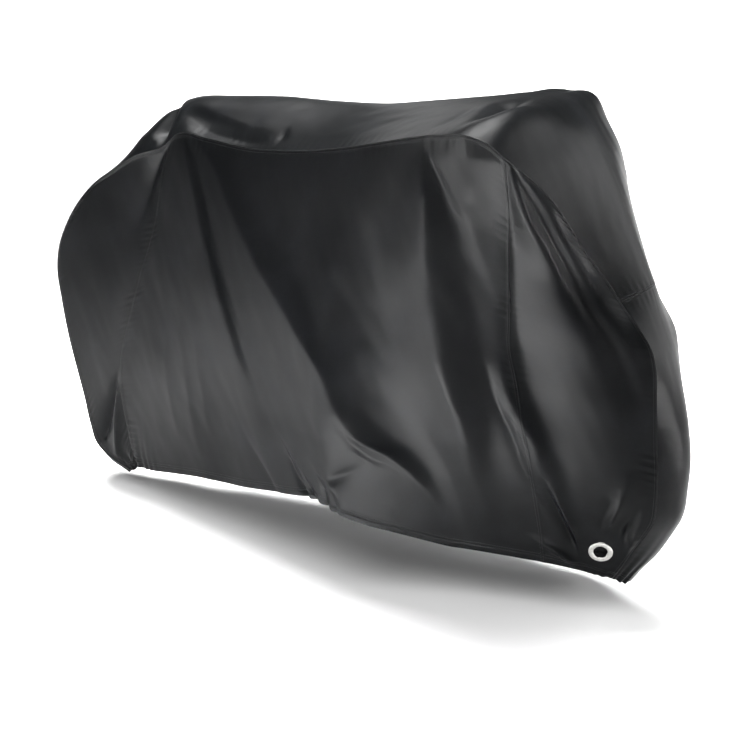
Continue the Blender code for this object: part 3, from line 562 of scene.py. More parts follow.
class Steps:
    """Places of the points along a panel: close together at its edges, even between."""

    def __init__(self, first: Sequence[float], last: Sequence[float], count: int) -> None:
        """Work out each place as a fixed distance plus a share of the length.

        Args:
            first: Distances from the start at which points lie.
            last: Distances from the end at which points lie.
            count: Even cells between them.
        """
        even = np.linspace(0.0, 1.0, count + 1)
        middle = first[-1] * (1 - even) - last[-1] * even
        self.offset = np.concatenate([first[:-1], middle, [-d for d in last[-2::-1]]])
        self.share = np.concatenate([np.zeros(len(first) - 1), even, np.ones(len(last) - 1)])

    def __len__(self) -> int:
        """Number of places."""
        return len(self.offset)


# ---------------------------------------------------------------- folds
def along_line(line: Array, x: Array, across: Array, profile: Callable[..., Array]) -> Array:
    """Lift the cloth along a line.

    Args:
        line: The line's points: two coordinates and the values that the profile takes.
        x: First coordinate of the points on the cloth.
        across: Their second coordinate.
        profile: Gives the rise from the distance beside the line, the distance
            beyond its ends and the line's values there.

    Returns:
        The rise at each point, from the stretch of the line that is nearest to it.
    """
    nearest = np.full_like(x, np.inf)
    rise = np.zeros_like(x)
    for a, b in zip(line, line[1:]):
        run_x, run_across = b[:2] - a[:2]
        length = math.hypot(run_x, run_across)
        along = ((x - a[0]) * run_x + (across - a[1]) * run_across) / length
        beside = ((across - a[1]) * run_x - (x - a[0]) * run_across) / length
        t = np.clip(along / length, 0.0, 1.0)
        beyond = along - t * length
        distance = np.hypot(beside, beyond)
        here = profile(beside, beyond, *(p + (q - p) * t for p, q in zip(a[2:], b[2:])))
        rise = np.where(distance < nearest, here, rise)
        nearest = np.minimum(distance, nearest)
    return rise


def fold_rise(folds: Lines, lean: Dict[str, float], x: Array, across: Array) -> Array:
    """How far broad folds lift the cloth.

    Args:
        folds: The folds' lines.
        lean: For the folds that lean, over 0 where the front slope is the steeper.
        x: First coordinate of the points.
        across: Second coordinate of the points.

    Returns:
        The rise at each point.
    """
    total = np.zeros_like(x)
    for name, line in folds.items():
        slope = lean.get(name, 0.0)

        def hump(beside: Array, beyond: Array, width: Array, rise: Array) -> Array:
            """A round hump across the fold."""
            width = width * np.where(beside > 0, 1.0 - slope, 1.0 + slope)
            return rise * np.exp(-(beside / width) ** 2 - (beyond / width) ** 2)

        total += along_line(metres(line), x, across, hump)
    return total


def crease_rise(creases: Lines, x: Array, across: Array) -> Array:
    """How far creases lift the cloth: an edge with a flank on each side.

    Args:
        creases: The creases' lines.
        x: First coordinate of the points.
        across: Second coordinate of the points.

    Returns:
        The rise at each point.
    """
    def ridge(beside: Array, beyond: Array, rear: Array, front: Array, rise: Array, edge: Array) -> Array:
        """A rounded edge that falls away to the rear and to the front."""
        share = smooth_step(beside / CREASE_TURN + 0.5)
        reach = np.maximum(rear * (1 - share) + front * share, CREASE_REACH)
        edge = np.maximum(edge, CREASE_EDGE)
        off = np.sqrt(beside**2 + beyond**2 + edge**2) - edge
        return rise * np.exp(-(off / reach) ** CREASE_FALL)

    return sum(along_line(refine(line, 3), x, across, ridge) for line in creases.values())


def facet_rise(lines: Lines, x: Array, height: Array) -> Array:
    """How far out the cloth stands between lines that run down it: flat between two lines, round at each.

    Args:
        lines: The lines, in order of x.
        x: Place of the points along the cover.
        height: Their height above the ground.

    Returns:
        How far out each point stands.
    """
    read = []
    for line in lines.values():
        upward = refine(line, 8)[::-1]
        read.append([np.interp(height, upward[:, 1], upward[:, k]) for k in (0, 2, 3)])
    place, out, edge = (np.array(values) for values in zip(*read))
    for k in range(1, len(place)):
        place[k] = np.maximum(place[k], place[k - 1] + 0.003)
    slope = np.diff(out, axis=0) / np.diff(place, axis=0)
    level = np.zeros_like(slope[:1])
    turn = np.diff(np.concatenate([level, slope, level]), axis=0)
    beyond = x[None] - place
    return out[0] + (turn * 0.5 * (beyond + np.sqrt(beyond**2 + edge**2))).sum(axis=0)


def drift(x: Array, across: Array, size: float, seed: float) -> Array:
    """Slow uneven change over the cloth, about -1 to 1.

    Args:
        x: First coordinate of the points.
        across: Second coordinate of the points.
        size: Size of its patches.
        seed: Which of many such fields.

    Returns:
        Its value at each point.
    """
    flat = zip(np.ravel(x) / size, np.ravel(across) / size)
    return np.array([noise.noise(Vector((u, v, seed))) for u, v in flat]).reshape(np.shape(x)) * 1.6


def sewn_band(distance: Array, height: float, width: float, fade: float, rows: Sequence[float],
              groove: float) -> Array:
    """Rise of a doubled band of cloth, drawn down along its stitch rows.

    Args:
        distance: Distance from the sewn edge.
        height: How far the band stands up.
        width: Distance at which it starts to end.
        fade: Over how much it ends.
        rows: Distances of the stitch rows.
        groove: How far they draw the cloth down.

    Returns:
        The rise at each point.
    """
    band = height * (1.0 - smooth_step((distance - width) / fade))
    return band - groove * sum(np.exp(-((distance - row) / STITCH_GROOVE) ** 2) for row in rows)


def lap_profile(distance: Array) -> Array:
    """Rise of a lapped seam, 9 mm wide, at distances from the sewn edge."""
    return sewn_band(distance, 0.0007, 0.0084, 0.0014, [LAP_STEPS[k] for k in LAP_STITCH], 0.0011)


def hem_profile(distance: Array) -> Array:
    """Rise of the turned hem at distances from its edge."""
    return sewn_band(distance, 0.0009, 0.0205, 0.003, [HEM_STEPS[k] for k in HEM_STITCH], 0.0008)


def pucker(seam: str, along: Array, distance: Array, share: Array | float = 1.0, seed: float = 0.0) -> Array:
    """Small waves that stand across a seam.

    Args:
        seam: The seam, as PUCKERS names it.
        along: Distance along the seam.
        distance: Distance from the seam.
        share: Share of their full height that the waves have there.
        seed: Added to the seam's own seed.

    Returns:
        The rise at each point, none on the seam line itself.
    """
    tall, pitch, own_seed = PUCKERS[seam]
    seed += own_seed
    table = np.linspace(-0.2, 4.2, 881)
    wander = np.array([noise.noise(Vector((s / 0.045, seed, 0.5))) for s in table])
    swell = np.array([noise.noise(Vector((s / 0.060, seed, 9.5))) for s in table])
    phase = math.tau * along / pitch + 3.4 * np.interp(along, table, wander)
    height = np.clip(0.55 + 1.6 * np.interp(along, table, swell), 0.05, 1.4)
    fade = (distance / 0.010) * np.exp(1.0 - distance / 0.010)
    return tall * share * height * np.sin(phase) * np.where(distance > 0, fade, 0.0)


# ---------------------------------------------------------------- the cover's surface
class Side(Enum):
    """The cover's two sides, by the direction of their outward normal."""

    NEAR = -1.0
    FAR = 1.0


@dataclass
class Sewn:
    """A patch of cloth as points, before it becomes a sheet.

    Attributes:
        points: Outer surface, rows by columns by 3, in the frame's coordinates.
        normals: Outward normals at the points.
        along: Distance along each row, for the weave.
        down: Distance down each column, for the weave.
    """

    points: Array
    normals: Array
    along: Array
    down: Array

    def part(self, rows: slice, columns: slice) -> "Sewn":
        """The part of the patch in some rows and columns."""
        return Sewn(*(a[rows, columns] for a in (self.points, self.normals, self.along, self.down)))

    def with_rows(self, points: Array, down: Array) -> "Sewn":
        """The patch with more rows under its last one, which keep that row's normals."""
        normals, along = (np.repeat(a[-1:], len(points), axis=0) for a in (self.normals, self.along))
        return Sewn(np.concatenate([self.points, points]), np.concatenate([self.normals, normals]),
                    np.concatenate([self.along, along]), np.concatenate([self.down, down]))


class CoverForm:
    """The cover's outer surface, read at any place on it."""

    def __init__(self) -> None:
        """Measure the gusset seam, and mark the corners of the sides along it."""
        self.table = np.array(list(GUSSET.values()), float)
        self.table[:, :-1] /= 1000.0
        self.lengths = run_lengths(self.table[:, :2])
        self.place = dict(zip(GUSSET, self.lengths))
        corners = ("rear corner", "rear seam", "front seam", "front corner")
        self.marks = [0.0, *(self.place[name] for name in corners), self.lengths[-1]]

    def gusset(self, length: Array, t: Array) -> Array:
        """Read the gusset.

        Args:
            length: Length along its seam.
            t: Place across it, from -1 at the near seam to 1 at the far one.

        Returns:
            The points there.
        """
        seam_x, seam_z, near, far, crown_x, crown_z, bend = np.moveaxis(
            smooth_line(self.table, self.lengths, length), -1, 0)
        soft = CROWN_SOFT**2
        crest = soft ** (bend / 2)
        fall = ((t * t + soft) ** (bend / 2) - crest) / ((1 + soft) ** (bend / 2) - crest)
        return np.stack([crown_x + (seam_x - crown_x) * fall, t * np.where(t < 0, near, far),
                         crown_z + (seam_z - crown_z) * fall], axis=-1)

    def edge(self, length: Array, side: Side) -> Array:
        """The gusset seam of one side, with its distance from the middle plane as y."""
        points = self.gusset(length, np.full(np.shape(length), side.value))
        return points * (1.0, side.value, 1.0)

    def upright(self, seam: Places, v: Array, start: Array) -> Array:
        """An upright seam from its start, at shares v of its length."""
        points = metres(list(seam.values()))
        points[0] = start
        lengths = run_lengths(points)
        return smooth_line(points, lengths, lengths[-1] * v)

    def side(self, side: Side, rows: Steps, panels: Dict[str, Steps]) -> Tuple[Array, Dict[str, Array]]:
        """One whole side before its folds.

        Args:
            side: Which side.
            rows: Places of the points down it.
            panels: Places of the points along each of its three panels.

        Returns:
            The grid of points, and for each point how far it lies from the top seam, the hem
            and the ends of its panel, and how much of the broad folds it takes.
        """
        marks = self.marks
        hem = metres(list(HEM_LINE.values()))
        hem_lengths = run_lengths(hem)
        hem_place = dict(zip(HEM_LINE, hem_lengths))
        hem_marks = [0.0, hem_place["rear seam"], hem_place["front seam"], hem_lengths[-1]]
        tops = [self.edge(np.array(m), side) for m in marks[1:5]]
        uprights: List[Callable[[Array], Array]] = [
            lambda v: self.edge(marks[1] * (1 - v), side),
            lambda v: self.upright(REAR_SEAM, v, tops[1]),
            lambda v: self.upright(FRONT_SEAM, v, tops[2]),
            lambda v: self.edge(marks[4] + (marks[5] - marks[4]) * v, side),
        ]
        tall = [run_lengths(up(np.linspace(0, 1, 60)))[-1] for up in uprights]
        v_even = np.linspace(0.0, 1.0, len(rows))
        grids, facts = [], []
        for i, (word, steps) in enumerate(panels.items()):
            left, right = uprights[i], uprights[i + 1]
            # A panel is a little longer than the straight distance between its ends.
            wide = np.linalg.norm(right(v_even) - left(v_even), axis=1)[:, None] * 1.03
            u = np.clip(steps.offset[None, :] / wide + steps.share[None, :], 0.0, 1.0)
            high = tall[i] * (1 - u) + tall[i + 1] * u
            v = np.clip(rows.offset[:, None] / high + rows.share[:, None], 0.0, 1.0)
            ends = left(np.array(1.0)), right(np.array(1.0))
            hemline = hem_marks[i] + (hem_marks[i + 1] - hem_marks[i]) * u
            seam = marks[i + 1] + (marks[i + 2] - marks[i + 1]) * u
            u3, v3 = u[..., None], v[..., None]
            bottom = smooth_line(hem, hem_lengths, hemline)
            bottom = np.where(u3 <= 0, ends[0], np.where(u3 >= 1, ends[1], bottom))
            corners = ((1 - u3) * (1 - v3) * tops[i] + u3 * (1 - v3) * tops[i + 1]
                       + (1 - u3) * v3 * ends[0] + u3 * v3 * ends[1])
            grid = ((1 - v3) * self.edge(seam, side) + v3 * bottom
                    + (1 - u3) * left(v) + u3 * right(v) - corners)
            band = HEM_WIDTH / high
            row = (CAD_ROWS - 1) * (1 - np.clip(1 - v / (1 - band), 0, 1) ** (1 / CAD_PACKING))
            column = u * CAD_COLUMNS[word]
            end = {"rear": column, "front": CAD_COLUMNS[word] - column}.get(word, np.full_like(u, 3.0))
            fact = {"top": v * high, "hem": (1 - v) * high, "left": u * wide, "right": (1 - u) * wide,
                    "hold": smooth_step(row / 3.0) * smooth_step(end / 3.0), "seam": seam,
                    "panel": np.full_like(u, i), "hemline": hemline}
            skip = min(i, 1)
            grids.append(grid[:, skip:])
            facts.append({k: f[:, skip:] for k, f in fact.items()})
        joined = {k: np.concatenate([f[k] for f in facts], axis=1) for k in facts[0]}
        return np.concatenate(grids, axis=1) * (1.0, side.value, 1.0), joined


# ---------------------------------------------------------------- finishes
def linear(colour: str) -> Tuple[float, float, float, float]:
    """Turn an sRGB hex colour into linear red, green and blue with full alpha."""
    parts = [int(colour[i:i + 2], 16) / 255 for i in (1, 3, 5)]
    return tuple(c / 12.92 if c <= 0.04045 else ((c + 0.055) / 1.055) ** 2.4 for c in parts) + (1.0,)


def new_material(name: str) -> Tuple[Material, Tree, Node]:
    """A new material, with its node tree and its shader."""
    made = bpy.data.materials.new(name)
    made.use_nodes = True
    return made, made.node_tree, made.node_tree.nodes["Principled BSDF"]


def add_node(tree: Tree, kind: str, settings: Dict | None = None, links: Dict | None = None) -> Node:
    """Add a shader node.

    Args:
        tree: The node tree.
        kind: The node's type.
        settings: Values of its sockets by name or number, and of its own properties by
            name with a dot first.
        links: Output sockets that feed its inputs, by name or number.

    Returns:
        The node.
    """
    node = tree.nodes.new(kind)
    for key, value in (settings or {}).items():
        if isinstance(key, str) and key.startswith("."):
            setattr(node, key[1:], value)
        else:
            node.inputs[key].default_value = value
    for key, socket in (links or {}).items():
        tree.links.new(socket, node.inputs[key])
    return node


def dress(tree: Tree, source: Socket, stops: Sequence[Tuple[float, str]],
          gloss: Tuple[float, float]) -> None:
    """Feed the shader's colour and roughness from one uneven value.

    Args:
        tree: The material's node tree.
        source: The value, from 0 to 1.
        stops: Colours in sRGB hex, each with the value at which it stands.
        gloss: Roughness at 0 and at 1.
    """
    shader = tree.nodes["Principled BSDF"]
    tones = add_node(tree, "ShaderNodeValToRGB", links={0: source})
    band = tones.color_ramp
    while len(band.elements) < len(stops):
        band.elements.new(0.5)
    for element, (place, colour) in zip(band.elements, stops):
        element.position = place
        element.color = linear(colour)
    tree.links.new(tones.outputs["Color"], shader.inputs["Base Color"])
    rough = add_node(tree, "ShaderNodeMapRange", {3: gloss[0], 4: gloss[1]}, {0: source})
    tree.links.new(rough.outputs[0], shader.inputs["Roughness"])


def uneven(tree: Tree, place: Socket, scale: float, detail: float, roughness: float = 0.5) -> Socket:
    """Noise at a place, with so many patches to the metre."""
    settings = {"Scale": scale, "Detail": detail, "Roughness": roughness}
    return add_node(tree, "ShaderNodeTexNoise", settings, {"Vector": place}).outputs[0]


@dataclass(frozen=True)
class CoatedNylon:
    """Plain-woven nylon with a polyurethane coat: black with a soft, waxy gloss."""

    deep: str = "#08090a"
    mid: str = "#0c0d0e"
    dusty: str = "#131416"
    # Real threads lie 0.35 mm apart, too fine to show, so they are drawn coarser.
    thread_mm: float = 1.1
    gloss: Tuple[float, float] = (0.29, 0.40)
    coat_ior: float = 1.40
    shine: float = 0.11

    def material(self) -> Material:
        """Make the cloth's material, laid out on the sheet's own UV map in metres."""
        made, tree, shader = new_material("coated_nylon_plain_weave")
        shader.inputs["IOR"].default_value = self.coat_ior
        shader.inputs["Specular IOR Level"].default_value = self.shine
        place = add_node(tree, "ShaderNodeUVMap", {".uv_map": "cloth"}).outputs[0]
        # Handling leaves the coat a little duller in patches a hand or two wide.
        worn = uneven(tree, place, 9.0, 5.0, 0.6)
        fine = uneven(tree, place, 160.0, 3.0, 0.6)
        mixed = add_node(tree, "ShaderNodeMath", {".operation": "MULTIPLY_ADD", 1: 0.35}, {0: fine, 2: worn})
        dress(tree, mixed.outputs[0], [(0.45, self.deep), (0.68, self.mid), (0.95, self.dusty)], self.gloss)
        # The weave is two sets of rounded threads under the coat.
        scale = math.tau / (self.thread_mm / 1000.0)
        split = add_node(tree, "ShaderNodeSeparateXYZ", links={0: place})
        waves = []
        for axis in (0, 1):
            phase = add_node(tree, "ShaderNodeMath", {".operation": "MULTIPLY", 1: scale},
                             {0: split.outputs[axis]})
            wave = add_node(tree, "ShaderNodeMath", {".operation": "SINE"}, {0: phase.outputs[0]})
            waves.append(wave.outputs[0])
        weave = add_node(tree, "ShaderNodeMath", {".operation": "MULTIPLY"}, {0: waves[0], 1: waves[1]})
        cockle = uneven(tree, place, 45.0, 4.0, 0.55)
        soft = add_node(tree, "ShaderNodeBump", {"Strength": 0.22, "Distance": 0.0010}, {"Height": cockle})
        grain = add_node(tree, "ShaderNodeBump", {"Strength": 0.20, "Distance": 0.00005},
                         {"Height": weave.outputs[0], "Normal": soft.outputs[0]})
        tree.links.new(grain.outputs[0], shader.inputs["Normal"])
        return made


@dataclass(frozen=True)
class NickelledBrass:
    """Brass, pressed and plated with bright nickel: near-white metal with fine rub marks."""

    bright: str = "#d6d5d1"
    dull: str = "#b3b2ae"

    def material(self) -> Material:
        """Make the eyelets' material."""
        made, tree, shader = new_material("nickel_plated_brass_polished")
        shader.inputs["Metallic"].default_value = 1.0
        rub = uneven(tree, add_node(tree, "ShaderNodeTexCoord").outputs["Object"], 420.0, 4.0)
        dress(tree, rub, [(0.35, self.dull), (0.65, self.bright)], (0.10, 0.26))
        fine = add_node(tree, "ShaderNodeBump", {"Strength": 0.12, "Distance": 0.0001}, {"Height": rub})
        tree.links.new(fine.outputs[0], shader.inputs["Normal"])
        return made


@dataclass(frozen=True)
class SewingThread:
    """Twisted polyester thread, bonded: black with a slight shine."""

    colour: str = "#0b0b0c"
    worn: str = "#161718"

    def material(self) -> Material:
        """Make the stitches' material."""
        made, tree, _ = new_material("polyester_thread_bonded")
        fuzz = uneven(tree, add_node(tree, "ShaderNodeTexCoord").outputs["Object"], 300.0, 2.0)
        dress(tree, fuzz, [(0.3, self.colour), (0.7, self.worn)], (0.42, 0.58))
        return made


@dataclass(frozen=True)
class StudioFloor:
    """Matt white studio floor."""

    colour: str = "#f4f4f4"

    def material(self) -> Material:
        """Make the floor's material."""
        made, _, shader = new_material("matt_white_floor_paint")
        shader.inputs["Base Color"].default_value = linear(self.colour)
        shader.inputs["Roughness"].default_value = 0.8
        return made


# ---------------------------------------------------------------- pieces
def select_only(*things: Thing) -> None:
    """Select these objects and nothing else, and make the last of them active."""
    for other in bpy.context.selected_objects:
        other.select_set(False)
    for thing in things:
        thing.select_set(True)
        bpy.context.view_layer.objects.active = thing


def settle(thing: Thing, material: Material, node: str = "") -> None:
    """Give a piece its material and its body, and hide the CAD node that it stands for."""
    thing.data.materials.clear()
    thing.data.materials.append(material)
    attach(thing, "root")
    if node:
        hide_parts(node)
    log.info("%s: %d faces", thing.name, len(thing.data.polygons))


@dataclass
class EyeletRing:
    """A turned ring that clamps the cloth: a domed front flange, a barrel and a back washer.

    Attributes:
        side: The side that it is set in.
        face: Middle of its front face, in the frame.
        axis: Outward axis.
        steps: Facets round it.
        roll: Width of the flange's rounded edges.
        crown: Height of its dome.
        lift: How far the dome's rim stands off the cloth.
    """

    side: Side
    face: Point
    axis: Point
    steps: int = 96
    roll: float = 0.0056
    crown: float = 0.0021
    lift: float = 0.0003

    def seat(self) -> Matrix:
        """Where the ring sits: its middle on the cloth, Z along its axis."""
        centre = Vector(self.face) - Vector(self.axis) * EYELET_SEAT
        return Matrix.Translation(centre) @ Vector(self.axis).to_track_quat("Z", "Y").to_matrix().to_4x4()

    def section(self) -> List[Tuple[float, float]]:
        """Radius and height of the points round the ring's section."""
        outer, bore = EYELET_OUTER, EYELET_BORE
        turns = np.linspace(0.0, math.pi / 2, 9)
        dome = [(outer - self.roll * (1 - math.cos(a)), self.lift + self.crown * math.sin(a))
                for a in turns]
        lip = [(bore + self.roll * (1 - math.sin(a)), self.lift + self.crown * math.cos(a))
               for a in turns[1:]]
        washer = [
            (bore, -0.0024),
            (bore + 0.0008, -0.0028),
            (outer - 0.0024, -0.0028),
            (outer - 0.0016, -0.0018),
            (bore + 0.0012, -0.0016),
            (bore + 0.0012, 0.0002),
        ]
        return dome + lip + washer

    def build(self, material: Material) -> Thing:
        """Turn the ring by extruding a circle round its section, and set it in the cloth."""
        section = self.section()
        radius, height = section[0]
        select_only()
        bpy.ops.mesh.primitive_circle_add(vertices=self.steps, radius=radius, location=(0, 0, 0))
        thing = bpy.context.object
        thing.name = thing.data.name = f"eyelet_ring_{self.side.name.lower()}"
        bpy.ops.object.mode_set(mode="EDIT")
        bpy.ops.mesh.select_all(action="SELECT")
        bpy.ops.transform.translate(value=(0, 0, height))
        for new_radius, new_height in section[1:] + section[:1]:
            bpy.ops.mesh.extrude_edges_move()
            share = new_radius / radius
            bpy.ops.transform.resize(value=(share, share, 1.0), center_override=(0, 0, 0))
            bpy.ops.transform.translate(value=(0, 0, new_height - height))
            radius, height = new_radius, new_height
        bpy.ops.mesh.select_all(action="SELECT")
        bpy.ops.mesh.remove_doubles(threshold=1e-6)
        bpy.ops.mesh.normals_make_consistent(inside=False)
        bpy.ops.object.mode_set(mode="OBJECT")
        thing.data.transform(self.seat())
        bpy.ops.object.shade_smooth_by_angle(angle=math.radians(50))
        settle(thing, material, f"eyelet_{self.side.name.lower()}")
        return thing

    def punch(self, panel: Thing) -> None:
        """Punch the eyelet's hole through a panel."""
        select_only()
        bpy.ops.mesh.primitive_cylinder_add(vertices=64, radius=EYELET_HOLE, depth=0.03)
        cutter = bpy.context.object
        cutter.data.transform(self.seat())
        select_only(panel)
        hole = panel.modifiers.new("eyelet hole", "BOOLEAN")
        hole.object = cutter
        hole.operation = "DIFFERENCE"
        hole.solver = "EXACT"
        bpy.ops.object.modifier_apply(modifier=hole.name)
        bpy.data.objects.remove(cutter, do_unlink=True)


@dataclass
class Panel:
    """One cut piece of the cover.

    Attributes:
        name: The piece's name.
        node: The CAD node that it stands for.
        cloth: Its outer surface.
        flat: Width, length and area of the flat cloth that it is cut from; not used.
        hangs_from: What it hangs from or lies on; not used.
        hems: Whether its last row, or its first, is a hem.
        thickness: Thickness of the cloth.
        turn: How far the hem's turned layer lies behind the outer one.
    """

    name: str
    node: str
    cloth: Sewn
    flat: Point
    hangs_from: Sequence[str]
    hems: Tuple[str, ...] = ()
    thickness: float = 0.0012
    turn: float = 0.0028

    def turned_hem(self, cloth: Sewn) -> Sewn:
        """Fold the last row under and carry the cloth up inside, behind its own hem band."""
        points, normals = cloth.points, cloth.normals
        radius = self.turn / 2
        last = points[-1]
        down = last - points[-2]
        down = unit(down - (down * normals[-1]).sum(axis=1, keepdims=True) * normals[-1])
        rows, below = [], []
        for angle in math.pi * np.array([0.25, 0.5, 0.75, 1.0]):
            rows.append(last + radius * (normals[-1] * (math.cos(angle) - 1) + down * math.sin(angle)))
            below.append(cloth.down[-1] + radius * angle)
        for i in range(2, len(HEM_STEPS) - 1):
            rows.append(points[-i] - self.turn * normals[-i])
            below.append(cloth.down[-1] + radius * math.pi + HEM_STEPS[i - 1])
        return cloth.with_rows(np.stack(rows), np.stack(below))

    def build(self, material: Material) -> Thing:
        """Make the sheet: a grid laid on the surface, given its thickness.

        Args:
            material: The cloth.

        Returns:
            The finished piece, its place in its mesh.
        """
        cloth = self.cloth
        if "first" in self.hems:
            back = slice(None, None, -1)
            cloth = self.turned_hem(cloth.part(back, slice(None))).part(back, slice(None))
        if "last" in self.hems:
            cloth = self.turned_hem(cloth)
        rows, columns = cloth.points.shape[:2]
        select_only()
        bpy.ops.mesh.primitive_grid_add(x_subdivisions=columns - 1, y_subdivisions=rows - 1, size=1.0)
        thing = bpy.context.object
        thing.name = thing.data.name = self.name
        thing.data.vertices.foreach_set("co", cloth.points.astype(np.float32).ravel())
        layer = thing.data.uv_layers[0]
        layer.name = "cloth"
        corner = np.empty(len(thing.data.loops), dtype=np.int32)
        thing.data.loops.foreach_get("vertex_index", corner)
        uv = np.stack([cloth.along, cloth.down], axis=-1).reshape(-1, 2)
        layer.data.foreach_set("uv", uv[corner].astype(np.float32).ravel())
        thing.data.update()
        middle = thing.data.polygons[(rows // 2) * (columns - 1) + columns // 2]
        outward = cloth.normals[rows // 2, columns // 2]
        bpy.ops.object.mode_set(mode="EDIT")
        bpy.ops.mesh.select_all(action="SELECT")
        if middle.normal.dot(Vector(outward)) < 0:
            bpy.ops.mesh.flip_normals()
        bpy.ops.object.mode_set(mode="OBJECT")
        thick = thing.modifiers.new("cloth thickness", "SOLIDIFY")
        thick.thickness = self.thickness
        thick.offset = -1.0
        thick.use_rim = True
        bpy.ops.object.modifier_apply(modifier=thick.name)
        bpy.ops.object.shade_smooth_by_angle(angle=math.radians(62))
        settle(thing, material, self.node)
        return thing


@dataclass
class SidePanels:
    """One side of the cover: its rear, middle and front panels, sewn along two upright seams.

    Attributes:
        ring: The side's eyelet.
        rows: Even cells between the top seam and the hem.
        columns: Even cells along each panel.
        creases: Its creases.
        folds: Its broad folds.
        facets: The lines between its flat facets.
        seed: Added to the seeds of its unevenness.
        sag: How much lower its hem hangs in front of the pedals.
        flats: Width, length and area of the flat cloth that each panel is cut from.
    """

    ring: EyeletRing
    rows: int
    columns: Dict[str, int]
    creases: Lines
    folds: Lines = field(default_factory=dict)
    facets: Lines = field(default_factory=dict)
    seed: float = 0.0
    sag: float = 0.0
    flats: Dict[str, Point] = field(default_factory=lambda: {
        "rear": (0.31, 0.98, 0.190), "middle": (1.22, 0.96, 1.000), "front": (0.30, 1.02, 0.208)})

    def __post_init__(self) -> None:
        """Lay out the rows and columns."""
        self.down = Steps(LAP_STEPS, HEM_STEPS, self.rows)
        edges = {
            "rear": (LAP_STEPS, PLAIN_STEPS),
            "middle": (LAP_STEPS, LAP_STEPS),
            "front": (PLAIN_STEPS, LAP_STEPS),
        }
        self.panels = {word: Steps(*edges[word], self.columns[word]) for word in CAD_COLUMNS}
        self.splits = np.cumsum([0] + [len(steps) - 1 for steps in self.panels.values()])
        self.word = self.ring.side.name.lower()

    def outward(self, grid: Array) -> Array:
        """Outward normals of the side."""
        normal = grid_normals(grid)
        return normal * np.sign(normal[..., 1].sum() * self.ring.side.value)

    def lay(self, form: CoverForm) -> None:
        """Lay the side's cloth on the cover's form, with its folds, creases, seams and hem."""
        grid, fact = form.side(self.ring.side, self.down, self.panels)
        first, last = fact["panel"] == 0, fact["panel"] == 2
        # The gusset holds the hem up, so it sags away from the front end only.
        free = smooth_step(np.where(last, fact["right"], 1.0) / 0.09)
        free *= smooth_step((SAG_START - grid[..., 2]) / SAG_GROWTH)
        grid[..., 2] -= self.sag * free * np.exp(-((grid[..., 0] - SAG_X) / SAG_REACH) ** 2)
        edge = np.minimum(fact["top"], np.where(first, fact["left"], np.inf))
        edge = np.minimum(edge, np.where(last, fact["right"], np.inf))
        folded = grid + self.outward(grid) * self.drape(grid, fact, edge)[..., None]
        folded = self.flatten_eyelet(folded)
        fine = self.gathers(fact) + self.seams(fact)
        # The finest waves end short of the eyelet's flange.
        x, z = folded[..., 0] - EYELET_X, folded[..., 2] - EYELET_HEIGHT
        reach = np.hypot(x / 0.034, z / 0.038)
        fine *= smooth_step((reach - 1.0) / 0.5)
        folded = folded + self.outward(folded) * fine[..., None]
        normal = self.outward(folded)
        folded[..., 2] -= MOUNT_HEIGHT
        along = np.cumsum(np.linalg.norm(np.diff(folded, axis=1, prepend=folded[:, :1]), axis=2), axis=1)
        middle = along[:, along.shape[1] // 2]
        down = np.cumsum(np.linalg.norm(np.diff(folded, axis=0, prepend=folded[:1]), axis=2), axis=0)
        self.cloth = Sewn(folded, normal, along - middle[:, None] + 2.0, down)

    def drape(self, grid: Array, fact: Dict[str, Array], edge: Array) -> Array:
        """How far folds, creases, facets and slack lift the cloth.

        Args:
            grid: The side before its folds.
            fact: What is known of each of its points.
            edge: Distance from the gusset seam.

        Returns:
            The rise at each point.
        """
        x, z = grid[..., 0], grid[..., 2]
        # Creases wander a little from the straight.
        wander = 0.005 * np.minimum(fact["top"] / 0.12, 1.0) * np.minimum(fact["hem"] / 0.08, 1.0)
        wx = x + drift(x, z, 0.16, 3.1 + self.seed) * wander
        wz = z + drift(x, z, 0.16, 7.7 + self.seed) * wander
        rise = fold_rise(self.folds, FAR_LEAN, x, z) * fact["hold"]
        rise += crease_rise(self.creases, wx, wz) * smooth_step(edge / 0.014)
        if self.facets:
            rise += FACET_DEPTH * facet_rise(self.facets, wx, wz) * smooth_step(edge / 0.010)
        slack = sum(tall * drift(x + lean * (z - 0.5), z * drawn, size, seed + self.seed)
                    for tall, lean, drawn, size, seed in SIDE_SLACK)
        return rise + slack * smooth_step(edge / 0.10)

    def flatten_eyelet(self, grid: Array) -> Array:
        """Press the cloth flat round the eyelet."""
        x, z = grid[..., 0] - EYELET_X, grid[..., 2] - EYELET_HEIGHT
        axis = np.array(self.ring.axis)
        centre = np.array(self.ring.face) + (0.0, 0.0, MOUNT_HEIGHT) - axis * EYELET_SEAT
        reach = np.hypot(x / FLAT_INNER[0], z / FLAT_INNER[1])
        pressed = 1.0 - smooth_step((reach - 1.0) / (FLAT_LIMIT - 1.0))
        pressed[:, -1] = 0.0
        pressed[:, -2] *= 0.5
        off = (grid - centre) @ axis
        return grid - (off * pressed)[..., None] * axis

    def gathers(self, fact: Dict[str, Array]) -> Array:
        """Waves that the drawn hem throws up at the front and rear ends."""
        along, hem = fact["hemline"], fact["hem"]
        rear, front = GATHER_ENDS
        ends = smooth_step((rear - along) / 0.12) + smooth_step((along - front) / 0.10)
        wander = 5.0 * drift(along, hem * 0.2, 0.06, 31.0 + self.seed)
        wave = np.sin(math.tau * along / GATHER_PITCH + wander)
        slow = 0.6 + 0.5 * drift(along, hem * 0.1, 0.05, 37.0 + self.seed)
        return GATHER_HEIGHT * ends * wave * slow * np.exp(-hem / (0.030 + 0.030 * slow))

